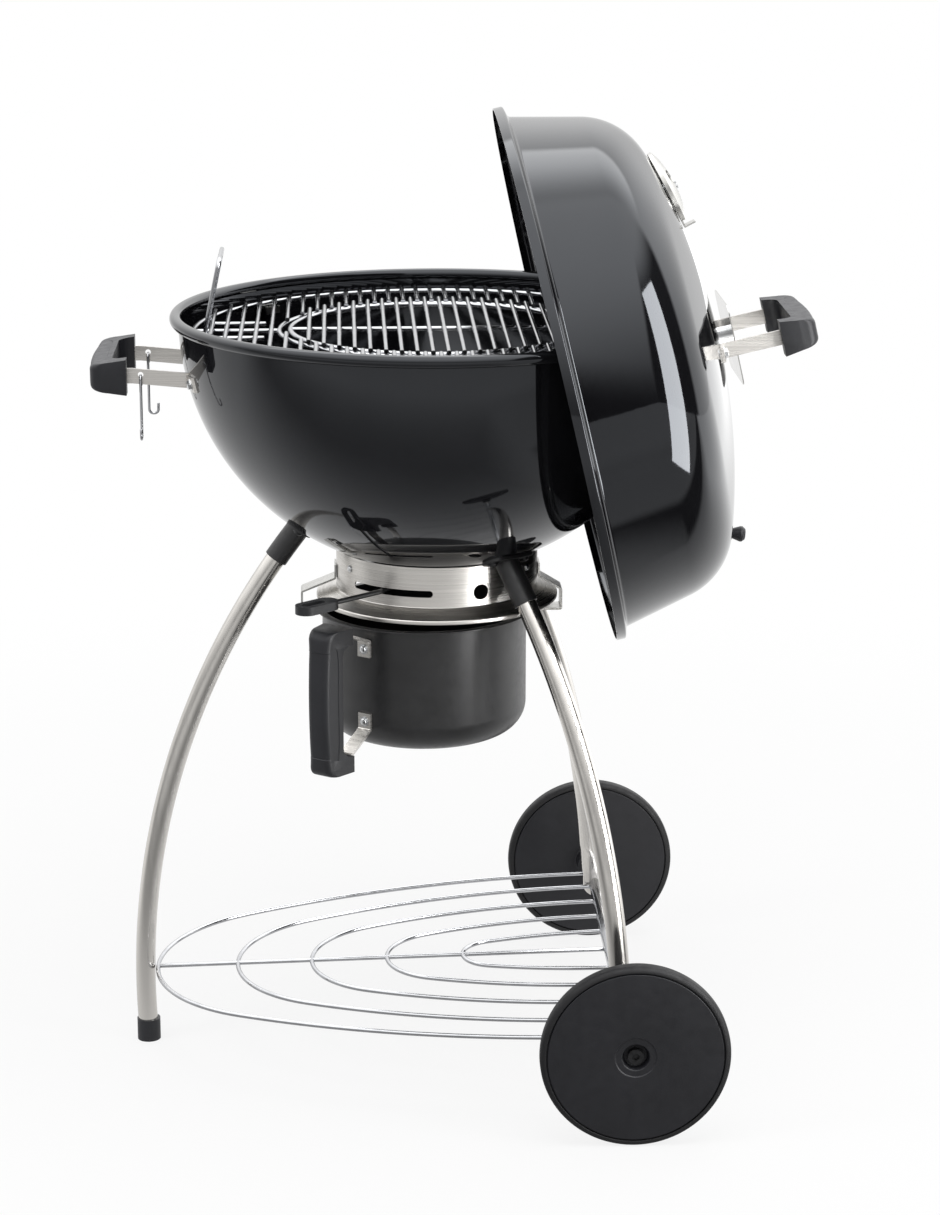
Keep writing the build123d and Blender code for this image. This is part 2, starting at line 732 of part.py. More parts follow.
keep(bolt_group(bowl_handle_at, BOLT_HEAD_R, BOLT_HEAD, BOLT_R, BOLT_LONG), "bowl_handle_bolts")

lid_grip_plane = Plane(origin=lid_point(LID_GRIP_UP, LID_GRIP_S), x_dir=lid_out, z_dir=lid_up)
keep(grip(lid_grip_plane), "lid_grip")

for name, side in SIDES:
    with BuildPart() as lid_arm:
        with Locations(lid_dome_centre):
            Sphere(LID_DOME_R + SEAT_GAP + ARM_T)
        foot_plane = Plane(
            origin=lid_point(LID_GRIP_UP, LID_HEIGHT) + Vector(0, side * (ARM_AT - ARM_T / 2), 0),
            x_dir=lid_out,
            z_dir=(0, -1, 0),
        )
        with BuildSketch(foot_plane):
            Rectangle(4 * ARM_H, ARM_H)
        extrude(amount=-side * FOOT_LONG, mode=Mode.INTERSECT)
        with BuildSketch(foot_plane):
            with Locations(((LID_GRIP_S + ARM_IN_GRIP - LID_HEIGHT - ARM_H) / 2, 0)):
                Rectangle(LID_GRIP_S + ARM_IN_GRIP - LID_HEIGHT + ARM_H, ARM_H)
        extrude(amount=-side * ARM_T)
        with Locations(lid_dome_centre):
            Sphere(LID_DOME_R + SEAT_GAP, mode=Mode.SUBTRACT)
        drill(lid_handle_at, BOLT_R + SEAT_GAP)
    keep(lid_arm, f"lid_arm_{name}")
keep(bolt_group(lid_handle_at, BOLT_HEAD_R, BOLT_HEAD, BOLT_R, BOLT_LONG), "lid_handle_bolts")

shield_plane = Plane(origin=lid_point(LID_GRIP_UP, SHIELD_S), x_dir=lid_up, z_dir=lid_out)
with BuildPart() as lid_shield:
    with BuildSketch(shield_plane) as plate:
        Rectangle(SHIELD_SIZE[0], SHIELD_SIZE[1])
        fillet(plate.vertices(), SHIELD_CORNER_R)
        with Locations((0, -SHIELD_POST_AT), (0, SHIELD_POST_AT)):
            Circle(BOLT_R + SEAT_GAP, mode=Mode.SUBTRACT)
    extrude(amount=SHIELD_T)
keep(lid_shield, "lid_shield")

with BuildPart() as shield_posts:
    with BuildSketch(shield_plane):
        with Locations((0, -SHIELD_POST_AT), (0, SHIELD_POST_AT)):
            Circle(SHIELD_POST_R)
    extrude(amount=LID_HEIGHT - SHIELD_S - 2 * LID_WALL)
    with BuildSketch(shield_plane):
        with Locations((0, -SHIELD_POST_AT), (0, SHIELD_POST_AT)):
            Circle(BOLT_R)
    extrude(amount=SHIELD_T + 2 * ARM_T)
    with Locations(lid_dome_centre):
        Sphere(LID_DOME_R + SEAT_GAP, mode=Mode.SUBTRACT)
keep(shield_posts, "shield_posts")


# S-hooks
hook_x = BOWL_X + HOOK_FROM_BOWL
for name, side in SIDES:
    y = side * ARM_AT
    front = y - HOOK_BEND
    low = BOWL_GRIP_Z - HOOK_DROP
    if side < 0:
        tip = [(hook_x, front - 2 * HOOK_BEND, low), (hook_x, front - 2 * HOOK_BEND, low + HOOK_TIP)]
    else:
        tip = [(hook_x + 2 * HOOK_BEND, front, low), (hook_x + 2 * HOOK_BEND, front, low + HOOK_TIP)]
    with BuildPart() as tool_hook:
        with BuildLine() as wire:
            FilletPolyline(
                (hook_x, y + HOOK_BEND, BOWL_GRIP_Z - HOOK_TIP),
                (hook_x, y + HOOK_BEND, BOWL_GRIP_Z),
                (hook_x, front, BOWL_GRIP_Z),
                (hook_x, front, low),
                *tip,
                radius=HOOK_BEND * 0.9,
            )
        with BuildSketch(Plane(origin=wire.line @ 0, z_dir=wire.line % 0)):
            Circle(HOOK_R)
        sweep()
    keep(tool_hook, f"tool_hook_{name}")


# The ash ring and what hangs on it
def ring_plane(at, z):
    """A plane on the ash ring's outside, at an angle counted from the front towards the handle's side."""
    away = Vector(-sin(radians(at)), -cos(radians(at)), 0)
    return Plane(origin=Vector(BOWL_X, 0, z) + away * RING_R, z_dir=away)


rivets_at = [ring_plane(at, RING_RIVET_Z) for at in RING_RIVETS_AT]
with BuildPart() as ash_ring:
    with BuildSketch(bowl_section):
        with BuildLine():
            Polyline(
                (RING_R - RING_WALL, RING_TOP),
                (RING_R, RING_TOP),
                (RING_R, RING_FOOT + RING_WALL),
                (SKIRT_R, SKIRT_Z + RING_WALL),
                (SKIRT_R, SKIRT_Z - SKIRT_LIP),
                (SKIRT_R - RING_WALL, SKIRT_Z - SKIRT_LIP),
                (SKIRT_R - RING_WALL, SKIRT_Z),
                (RING_R - RING_WALL, RING_FOOT),
                close=True,
            )
        make_face()
    revolve(axis=bowl_axis)
    with BuildSketch(Plane.XY.offset(SLOT_Z - SLOT_H / 2)):
        with BuildLine():
            far = CenterArc((BOWL_X, 0), RING_R + 5, 270 - SLOT_TO, SLOT_TO - SLOT_FROM)
            close = CenterArc((BOWL_X, 0), RING_R - 5, 270 - SLOT_TO, SLOT_TO - SLOT_FROM)
            Line(far @ 0, close @ 0)
            Line(far @ 1, close @ 1)
        make_face()
    extrude(amount=SLOT_H, mode=Mode.SUBTRACT)
    drill([ring_plane(DRAUGHT_HOLE_AT, SLOT_Z)], DRAUGHT_HOLE_R)
    drill(rivets_at, RING_RIVET_R / 2 + SEAT_GAP)
keep(ash_ring, "ash_ring")
keep(screw_group(rivets_at, RING_RIVET_R, RING_RIVET_R / 2, RING_RIVET_R / 2, RING_WALL), "ring_rivets")

for name, side, wall_x, lip_x in (
    ("left", -1, CLIP_LEFT_X, CLIP_LEFT_LIP),
    ("right", 1, CLIP_RIGHT_X, CLIP_RIGHT_LIP),
):
    flange_x = side * (RING_R + CLIP_T / 2 + SEAT_GAP)
    lip_z = CAN_TOP - CAN_RIM_T - CLIP_T / 2 - REST_GAP
    with BuildPart() as can_clip:
        with BuildSketch(bowl_section):
            with BuildLine():
                FilletPolyline(
                    (flange_x, CLIP_TOP),
                    (flange_x, CLIP_BEND),
                    (wall_x, SKIRT_Z + 2 * CLIP_T),
                    (wall_x, lip_z),
                    (lip_x, lip_z),
                    radius=CLIP_T,
                )
            trace(line_width=CLIP_T)
        extrude(amount=CLIP_WIDE / 2, both=True)
    keep(can_clip, f"can_clip_{name}")

with BuildPart() as ash_can:
    with BuildSketch(can_section) as section:
        with BuildLine():
            Polyline(
                (0, CAN_FLOOR),
                (CAN_R, CAN_FLOOR),
                (CAN_R, CAN_TOP - CAN_RIM_T),
                (CAN_RIM_R, CAN_TOP - CAN_RIM_T),
                (CAN_RIM_R, CAN_TOP),
                (CAN_R - CAN_WALL, CAN_TOP),
                (CAN_R - CAN_WALL, CAN_FLOOR + CAN_WALL),
                (0, CAN_FLOOR + CAN_WALL),
                close=True,
            )
        make_face()
        fillet(section.vertices().sort_by_distance((CAN_R, CAN_FLOOR))[0], CAN_CORNER)
        inner_corner = (CAN_R - CAN_WALL, CAN_FLOOR + CAN_WALL)
        fillet(section.vertices().sort_by_distance(inner_corner)[0], CAN_CORNER - CAN_WALL)
    revolve(axis=can_axis)
    lug_long = CAN_LUG_R - CAN_R
    with BuildSketch(Plane.XY.offset(CAN_TOP - CAN_RIM_T)):
        with Locations((can_x, 0)):
            with PolarLocations(CAN_R + lug_long / 2, 2):
                Rectangle(lug_long, CAN_LUG_WIDE)
    extrude(amount=CAN_RIM_T)
    drill(can_screws_at, SCREW_R + SEAT_GAP)
keep(ash_can, "ash_can")

can_grip_origin = Vector(can_x, 0, CAN_GRIP_Z) + can_handle_out * CAN_GRIP_RHO
can_grip_plane = Plane(origin=can_grip_origin, x_dir=can_handle_out, z_dir=can_handle_side)
keep(grip(can_grip_plane), "can_grip")

bracket_plane = Plane(origin=(can_x, 0, 0), x_dir=can_handle_out, z_dir=can_handle_side)
for name, foot_z, turn in (("top", BRACKET_Z[0], 1), ("bottom", BRACKET_Z[1], -1)):
    arm_z = CAN_GRIP_Z + turn * ARM_AT
    tab_rho = CAN_R + SEAT_GAP + ARM_T / 2
    with BuildPart() as can_bracket:
        with BuildSketch(bracket_plane):
            with BuildLine():
                FilletPolyline(
                    (tab_rho, foot_z - turn * BRACKET_TAB),
                    (tab_rho, foot_z + turn * BRACKET_TAB),
                    (CAN_GRIP_RHO - ARM_IN_GRIP, arm_z),
                    (CAN_GRIP_RHO + ARM_IN_GRIP - ARM_T, arm_z),
                    radius=ARM_T,
                )
            trace(line_width=ARM_T)
        extrude(amount=ARM_H / 2, both=True)
        drill(can_screws_at, SCREW_R + SEAT_GAP)
    keep(can_bracket, f"can_bracket_{name}")
keep(screw_group(can_screws_at, SCREW_HEAD_R, SCREW_HEAD_R / 2, SCREW_R, ARM_T + 3 * CAN_WALL), "can_screws")


# The ash sweeper
sweep_r = BOWL_R - BOWL_WALL - BLADE_GAP
with BuildPart() as sweeper_blades:
    with Locations(bowl_centre):
        Sphere(sweep_r)
        Sphere(sweep_r - BLADE_T, mode=Mode.SUBTRACT)
    with BuildSketch(Plane.XY.offset(RING_FOOT)):
        with Locations((BOWL_X, 0)):
            Circle(BLADE_HUB_R)
            with PolarLocations(BLADE_REACH / 2, 3, start_angle=BLADES_AT):
                SlotOverall(BLADE_REACH, BLADE_WIDE)
            Circle(SHAFT_R + RUN_FIT, mode=Mode.SUBTRACT)
    extrude(amount=RIM_Z - RING_FOOT - BOWL_R / 2, mode=Mode.INTERSECT)
keep(sweeper_blades, "sweeper_blades")

shaft_head_z = SLOT_Z - LEVER_HUB_H / 2 - SHAFT_HEAD
nut_z = RIM_Z - sweep_r + BLADE_T + BLADE_GAP
with BuildPart() as sweeper_shaft:
    with BuildSketch(Plane.XY.offset(shaft_head_z)):
        with Locations((BOWL_X, 0)):
            Circle(SHAFT_R + 4)
    extrude(amount=SHAFT_HEAD - SEAT_GAP)
    with BuildSketch(Plane.XY.offset(shaft_head_z)):
        with Locations((BOWL_X, 0)):
            Circle(SHAFT_R)
    extrude(amount=nut_z + SHAFT_NUT + 2 - shaft_head_z)
keep(sweeper_shaft, "sweeper_shaft")

with BuildPart() as sweeper_nut:
    with BuildSketch(Plane.XY.offset(nut_z)):
        with Locations((BOWL_X, 0)):
            RegularPolygon(SHAFT_R + 5, 6)
            Circle(SHAFT_R + RUN_FIT, mode=Mode.SUBTRACT)
    extrude(amount=SHAFT_NUT)
keep(sweeper_nut, "sweeper_nut")


def lever_direction(at):
    """A level direction, by its angle from the front towards the bowl handle's side."""
    return Vector(-sin(radians(at)), -cos(radians(at)), 0)


hub_middle = Vector(BOWL_X, 0, SLOT_Z)
lever_bend = hub_middle + lever_direction(LEVER_AT) * LEVER_INNER
grip_way = lever_direction(LEVER_AT + LEVER_TURN)
grip_start = lever_bend + grip_way * LEVER_OUTER
with BuildPart() as sweeper_lever:
    with BuildLine() as rod:
        FilletPolyline(
            hub_middle + lever_direction(LEVER_AT) * (SHAFT_R + 4),
            lever_bend,
            grip_start + grip_way * LEVER_IN_GRIP,
            radius=LEVER_BEND_R,
        )
    with BuildSketch(Plane(origin=rod.line @ 0, z_dir=rod.line % 0)):
        Circle(LEVER_R)
    sweep()
    with BuildSketch(Plane.XY.offset(SLOT_Z - LEVER_HUB_H / 2)):
        with Locations((BOWL_X, 0)):
            Circle(SHAFT_R + 8)
    extrude(amount=LEVER_HUB_H)
    drill([Plane(origin=hub_middle)], SHAFT_R + RUN_FIT)
keep(sweeper_lever, "sweeper_lever")

grip_middle = grip_start + grip_way * (LEVER_GRIP_LONG / 2)
with BuildPart() as lever_grip:
    with BuildSketch(Plane(origin=grip_middle, x_dir=grip_way)):
        SlotOverall(LEVER_GRIP_LONG, LEVER_GRIP_WIDE)
        with Locations((LEVER_IN_GRIP / 2, 0)):
            SlotOverall(LEVER_GRIP_LONG * 0.55, LEVER_GRIP_WIDE * 0.42, mode=Mode.SUBTRACT)
    extrude(amount=LEVER_GRIP_T / 2, both=True)
    drill([Plane(origin=grip_start, z_dir=grip_way)], LEVER_R + RUN_FIT, LEVER_IN_GRIP + RUN_FIT)
keep(lever_grip, "lever_grip")


# Legs and their sockets
def along_leg(name, top, end, radius, hollow=0.0, mode=Mode.ADD):
    """A round bar or tube that follows a leg's arc between two heights."""
    arc_centre = (LEG_ARC_IN - leg_closer[name], LEG_ARC_Z)
    with BuildLine(leg_planes[name]) as path:
        CenterArc(arc_centre, LEG_ARC_R, leg_turn(top), leg_turn(end) - leg_turn(top))
    with BuildSketch(Plane(origin=path.line @ 0, z_dir=path.line % 0)) as round_end:
        Circle(radius)
        if hollow:
            Circle(hollow, mode=Mode.SUBTRACT)
    sweep(round_end.sketch, path=path.line, mode=mode)


for name, leg_plane in leg_planes.items():
    with BuildPart() as leg_socket:
        with Locations(bowl_centre):
            Sphere(BOWL_R + SEAT_GAP + SOCKET_SHEET)
        top = leg_top[name]
        to_bowl = (bowl_centre - leg_place(name, top)).normalized()
        with BuildSketch(Plane(origin=leg_place(name, top), x_dir=leg_plane.z_dir, z_dir=to_bowl)):
            SlotOverall(SOCKET_PLATE[0], SOCKET_PLATE[1])
        extrude(amount=BOWL_R / 4, both=True, mode=Mode.INTERSECT)
        along_leg(name, top + SOCKET_PAST, top - SOCKET_LONG, SOCKET_R)
        with Locations(bowl_centre):
            Sphere(BOWL_R + SEAT_GAP, mode=Mode.SUBTRACT)
        along_leg(name, top, top - SOCKET_LONG - SOCKET_SHEET, LEG_R + SEAT_GAP, mode=Mode.SUBTRACT)
        drill(socket_bolt_planes(name), BOLT_R + SEAT_GAP)
        with BuildSketch(Plane.XY.offset(RING_FOOT)):
            with Locations((BOWL_X, 0)):
                Circle(RING_R + 2 * SEAT_GAP)
        extrude(amount=BOWL_R / 4, mode=Mode.SUBTRACT)
    keep(leg_socket, f"leg_socket_{name}")
keep(bolt_group(socket_bolts_at, BOLT_HEAD_R, BOLT_HEAD, BOLT_R, BOLT_LONG), "socket_bolts")

with BuildPart() as leg_front:
    along_leg("front", LEG_TOP, FRONT_LEG_END, LEG_R, LEG_R - LEG_WALL)
keep(leg_front, "leg_front")

with BuildPart() as front_foot:
    with BuildSketch(Plane.XY):
        with Locations((BOWL_X - leg_reach("front", FOOT_H / 2), 0)):
            Circle(FOOT_R)
    extrude(amount=FOOT_H)
    along_leg("front", 2 * FOOT_H, FRONT_LEG_END, LEG_R + SEAT_GAP, mode=Mode.SUBTRACT)
keep(front_foot, "front_foot")

tab_y = abs(leg_place("near", WHEEL_R).Y)
for name, side in SIDES:
    with BuildPart() as rear_leg:
        along_leg(name, REAR_LEG_TOP, REAR_LEG_END, LEG_R, LEG_R - LEG_WALL)
        end_turn = radians(leg_turn(REAR_LEG_END))
        down = leg_planes[name].x_dir * sin(end_turn) - Vector(0, 0, 1) * cos(end_turn)
        with BuildSketch(Plane(origin=leg_place(name, REAR_LEG_END), z_dir=down, x_dir=(0, 1, 0))):
            Circle(LEG_R)
        with BuildSketch(Plane(origin=(axle_x, side * tab_y, TAB_TOP), z_dir=(0, 0, -1), x_dir=(0, 1, 0))):
            SlotOverall(TAB_WIDE, TAB_T, rotation=90)
        loft()
        with BuildSketch(Plane(origin=(axle_x, side * tab_y, 0), x_dir=(1, 0, 0), z_dir=(0, -1, 0))):
            with Locations((0, WHEEL_R)):
                Circle(TAB_WIDE / 2)
            with Locations((0, (WHEEL_R + TAB_TOP) / 2)):
                Rectangle(TAB_WIDE, TAB_TOP - WHEEL_R)
        extrude(amount=TAB_T / 2, both=True)
        drill([Plane(origin=(axle_x, side * tab_y, WHEEL_R), z_dir=(0, 1, 0))], AXLE_R + SEAT_GAP)
    keep(rear_leg, f"leg_{name}")


# Axle and wheels
axle_end = WHEEL_FACE_Y - HUB_RECESS + 2 * SEAT_LIFT
axle_plane = Plane(origin=(axle_x, 0, WHEEL_R), z_dir=(0, 1, 0))
with BuildPart() as axle:
    with BuildSketch(axle_plane):
        Circle(AXLE_R)
    extrude(amount=axle_end, both=True)
keep(axle, "axle")

sleeve_end = SHELF_HALVES[0] + SHELF_WIRE_R + SLEEVE_PAST
spacer_from = sleeve_end + SEAT_GAP
spacer_long = WHEEL_FACE_Y - WHEEL_T - HUB_LONG - SEAT_LIFT - spacer_from
with BuildPart() as wheel_spacers:
    for _, side in SIDES:
        with BuildSketch(Plane(origin=(axle_x, side * spacer_from, WHEEL_R), z_dir=(0, side, 0))):
            Circle(SPACER_R)
            Circle(AXLE_R + SEAT_GAP, mode=Mode.SUBTRACT)
        extrude(amount=spacer_long)
keep(wheel_spacers, "wheel_spacers")

with BuildPart() as axle_screws:
    for _, side in SIDES:
        with BuildSketch(Plane(origin=(axle_x, side * axle_end, WHEEL_R), z_dir=(0, side, 0))):
            Circle(AXLE_SCREW_R)
        extrude(amount=AXLE_SCREW_H)
        head_y = side * (axle_end + AXLE_SCREW_H)
        with BuildSketch(Plane(origin=(axle_x, head_y, WHEEL_R), z_dir=(0, side, 0))):
            RegularPolygon(AXLE_SCREW_R / 2, 6)
        extrude(amount=-AXLE_SCREW_H / 2, mode=Mode.SUBTRACT)
keep(axle_screws, "axle_screws")

for name, side in SIDES:
    wheel_section = Plane(origin=(axle_x, 0, WHEEL_R), x_dir=(0, 0, 1), z_dir=(-side, 0, 0))
    axle_axis = Axis((axle_x, 0, WHEEL_R), (0, 1, 0))
    inner_y = WHEEL_FACE_Y - WHEEL_T
    with BuildPart() as wheel:
        with BuildSketch(wheel_section):
            with BuildLine():
                Polyline(
                    (AXLE_R + RUN_FIT, inner_y - HUB_LONG),
                    (HUB_R, inner_y - HUB_LONG),
                    (HUB_R, inner_y),
                    (WHEEL_FACE_R - GROOVE, inner_y),
                    (WHEEL_FACE_R, inner_y + GROOVE),
                    (WHEEL_FACE_R, WHEEL_FACE_Y - GROOVE),
                    (WHEEL_FACE_R - GROOVE, WHEEL_FACE_Y),
                    (HUB_RECESS_R, WHEEL_FACE_Y),
                    (HUB_RECESS_R, WHEEL_FACE_Y - HUB_RECESS),
                    (AXLE_R + RUN_FIT, WHEEL_FACE_Y - HUB_RECESS),
                    close=True,
                )
            make_face()
        revolve(axis=axle_axis)
    keep(wheel, f"wheel_{name}")
    with BuildPart() as tyre:
        with BuildSketch(wheel_section) as band:
            with Locations(((WHEEL_FACE_R + SEAT_GAP + WHEEL_R) / 2, (inner_y + WHEEL_FACE_Y) / 2)):
                Rectangle(WHEEL_R - WHEEL_FACE_R - SEAT_GAP, WHEEL_T)
            fillet(band.vertices().group_by(Axis.X)[-1], TYRE_EDGE_R)
        revolve(axis=axle_axis)
    keep(tyre, f"tyre_{name}")


# The wire shelf, whose wires end on sleeves around the axle
shelf_slope = (SHELF_REAR_Z - SHELF_FRONT_Z) / (AXLE_FROM_BOWL - SHELF_TIPS[0])
shelf_way = Vector(1, 0, shelf_slope).normalized()
shelf_plane = Plane(
    origin=(axle_x, 0, SHELF_REAR_Z), x_dir=shelf_way, z_dir=shelf_way.cross(Vector(0, 1, 0))
)
with BuildPart() as shelf_rack:
    for tip, half in zip(SHELF_TIPS, SHELF_HALVES):
        long = AXLE_FROM_BOWL - tip
        tip_r = half * SHELF_TIP_SHARE
        side_r = (long**2 - 2 * long * tip_r + half**2) / (2 * (half - tip_r))
        lean = atan2(long - tip_r, side_r - half)
        meet_x = -side_r * sin(lean)
        meet_y = half - side_r + side_r * cos(lean)
        with BuildLine(shelf_plane) as wire:
            ThreePointArc(
                (0, half),
                (-side_r * sin(lean / 2), half - side_r + side_r * cos(lean / 2)),
                (meet_x, meet_y),
            )
            ThreePointArc((meet_x, meet_y), (-long, 0), (meet_x, -meet_y))
            ThreePointArc(
                (meet_x, -meet_y),
                (-side_r * sin(lean / 2), -half + side_r - side_r * cos(lean / 2)),
                (0, -half),
            )
        with BuildSketch(Plane(origin=wire.line @ 0, z_dir=wire.line % 0)):
            Circle(SHELF_WIRE_R)
        sweep()
    tip_point = shelf_plane.from_local_coords(Vector(SHELF_TIPS[0] - AXLE_FROM_BOWL, 0, 0))
    with BuildSketch(Plane(origin=tip_point, z_dir=shelf_way)):
        Circle(SHELF_WIRE_R)
    extrude(amount=(AXLE_FROM_BOWL - SHELF_TIPS[0]) / shelf_way.X)
    tab_inner = tab_y - TAB_T / 2 - SEAT_GAP
    tab_outer = tab_y + TAB_T / 2 + SEAT_GAP
    with BuildSketch(axle_plane):
        Circle(SPACER_R)
    extrude(amount=tab_inner, both=True)
    for _, side in SIDES:
        with BuildSketch(Plane(origin=(axle_x, side * tab_outer, WHEEL_R), z_dir=(0, side, 0))):
            Circle(SPACER_R)
        extrude(amount=sleeve_end - tab_outer)
    with BuildSketch(axle_plane):
        Circle(AXLE_R + SEAT_GAP)
    extrude(amount=sleeve_end, both=True, mode=Mode.SUBTRACT)
keep(shelf_rack, "shelf_rack")
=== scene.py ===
"""Looks of a kettle charcoal grill with its lid hung on the side of the bowl.

Laid out as an add-on and run as a script. Metres, +Z up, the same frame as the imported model.
"""

import json
from math import acos, asin, atan2, cos, pi, radians, sin, sqrt

import bmesh
import bpy
from bpy.props import FloatProperty, FloatVectorProperty, IntProperty, PointerProperty
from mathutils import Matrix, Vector


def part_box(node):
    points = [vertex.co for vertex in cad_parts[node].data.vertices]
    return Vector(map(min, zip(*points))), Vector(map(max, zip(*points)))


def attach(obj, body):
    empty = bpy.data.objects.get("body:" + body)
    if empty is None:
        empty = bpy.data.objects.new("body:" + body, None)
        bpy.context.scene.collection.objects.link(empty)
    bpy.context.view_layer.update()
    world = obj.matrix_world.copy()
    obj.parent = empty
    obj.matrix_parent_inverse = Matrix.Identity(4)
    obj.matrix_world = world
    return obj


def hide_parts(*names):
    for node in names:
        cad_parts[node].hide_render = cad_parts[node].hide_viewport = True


bl_info = {
    "name": "Kettle grill looks",
    "version": (1, 0, 0),
    "blender": (4, 5, 0),
    "location": "View3D > Sidebar > Kettle grill",
    "description": "Smooth shells, wires, grips and finishes for a packed kettle grill",
    "category": "Object",
}

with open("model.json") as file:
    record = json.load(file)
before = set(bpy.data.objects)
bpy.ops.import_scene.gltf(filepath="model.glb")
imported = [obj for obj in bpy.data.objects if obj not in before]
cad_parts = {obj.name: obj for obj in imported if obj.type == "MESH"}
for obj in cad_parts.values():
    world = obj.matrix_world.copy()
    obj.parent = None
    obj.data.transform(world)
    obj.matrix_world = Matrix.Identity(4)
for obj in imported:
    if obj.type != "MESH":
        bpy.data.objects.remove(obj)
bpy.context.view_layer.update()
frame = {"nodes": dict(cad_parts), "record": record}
BOWL_LOW, BOWL_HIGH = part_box("bowl")
BOWL_X = (BOWL_LOW.x + BOWL_HIGH.x) / 2
CAN_LOW, CAN_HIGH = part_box("ash_can")
CAN_X = (CAN_LOW.x + CAN_HIGH.x) / 2
WHEEL_LOW, WHEEL_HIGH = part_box("tyre_near")
AXLE_X = (WHEEL_LOW.x + WHEEL_HIGH.x) / 2
SIDES = (("near", -1), ("far", 1))
UP = Vector((0, 0, 1))
RIGHT = Vector((1, 0, 0))
BACK = Vector((0, 1, 0))
FIT_GAP = 0.0001  # metres left between a sleeve and what it sits on
CAN_HANDLE_AT = radians(36)  # from straight ahead towards the left
FINISHED = "_finish"


def length(name, description, default):
    """A size in metres."""
    return FloatProperty(name=name, description=description, default=default, unit="LENGTH", precision=4)


def turn(name, description, degrees):
    """An angle, given in degrees."""
    return FloatProperty(name=name, description=description, default=radians(degrees), subtype="ANGLE")


def paint(name, description, *colour):
    """A colour in linear light."""
    return FloatVectorProperty(
        name=name, description=description, default=colour, min=0, max=1, size=3, subtype="COLOR"
    )


class KettleShells(bpy.types.PropertyGroup):
    """Sizes of the bowl and the lid."""

    rim_z: length("Rim height", "Height of the bowl's centre and rim", 0.830)
    bowl_r: length("Bowl radius", "Outside of the half sphere", 0.276)
    bowl_wall: length("Bowl wall", "Thickness of the bowl's sheet", 0.002)
    bead_r: length("Bead radius", "Roundness of the rolled rim", 0.0065)
    bead_ring_r: length("Bead ring radius", "From the bowl's axis to the bead's middle", 0.2785)
    bead_drop: length("Bead drop", "How far the bead's middle lies below the rim", 0.0015)
    opening_r: length("Ash opening radius", "From the axis to the middle of an ash opening", 0.058)
    opening_long: length("Ash opening length", "Length of an ash opening", 0.062)
    opening_wide: length("Ash opening width", "Width of an ash opening", 0.034)
    lid_tilt: turn("Lid tilt", "How far the lid's axis points above the horizon", 13.06)
    lid_from_bowl: length("Lid from bowl", "From the bowl's axis to the middle of the lid's rim", 0.1276)
    lid_z: length("Lid height", "Height of the middle of the lid's rim", 0.7603)
    flange_r: length("Flange radius", "Outside of the lid's flange", 0.293)
    flange_h: length("Flange height", "Height of the lid's flange", 0.010)
    wall_r: length("Lid wall radius", "Where the lid's wall meets its flange", 0.281)
    wall_s: length("Lid wall start", "How far above its rim the lid's wall starts", 0.0135)
    corner_r: length("Lid corner radius", "Where the wall would meet the dome", 0.2539)
    lid_high: length("Lid height over its rim", "From the rim to the crown", 0.180)
    dome_r: length("Dome radius", "Roundness of the crown", 0.670)
    shoulder_r: length("Shoulder radius", "Roundness between wall and dome", 0.079)
    lid_wall: length("Lid wall thickness", "Thickness of the lid's sheet", 0.0016)
    vent_at: length("Vent place", "From the lid's axis to its vent", 0.171)
    vent_hole_r: length("Vent hole radius", "Radius of a draught hole", 0.008)
    vent_ring_r: length("Vent hole circle", "Radius of the circle of draught holes", 0.022)


class KettleGrips(bpy.types.PropertyGroup):
    """Sizes of the moulded grips."""

    long: length("Grip length", "Along the grip", 0.159)
    deep: length("Grip depth", "Through the grip at its middle", 0.042)
    end_deep: length("Grip end depth", "Through the grip at its ends", 0.037)
    spine: length("Spine", "Depth of the part that the hand holds", 0.026)
    lug: length("Lug", "Length of an end that takes an arm", 0.018)
    inner_high: length("Inner height", "Height on the arms' side", 0.038)
    outer_high: length("Outer height", "Height on the outside", 0.026)
    scoop_r: length("Scoop radius", "Roundness inside the grip", 0.012)
    corner_r: length("Corner radius", "Roundness of the outer corners", 0.009)
    edge_r: length("Edge radius", "Roundness of the long outer edges", 0.007)
    panel_wide: length("Thumb panel width", "Width of the sunk panel on each face", 0.0125)
    panel_deep: length("Thumb panel depth", "How far the panel is sunk", 0.0009)
    pad_half: length("Pad half length", "Half the length of the sunk outer pad", 0.058)
    pad_deep: length("Pad depth", "How far the outer pad is sunk", 0.0009)


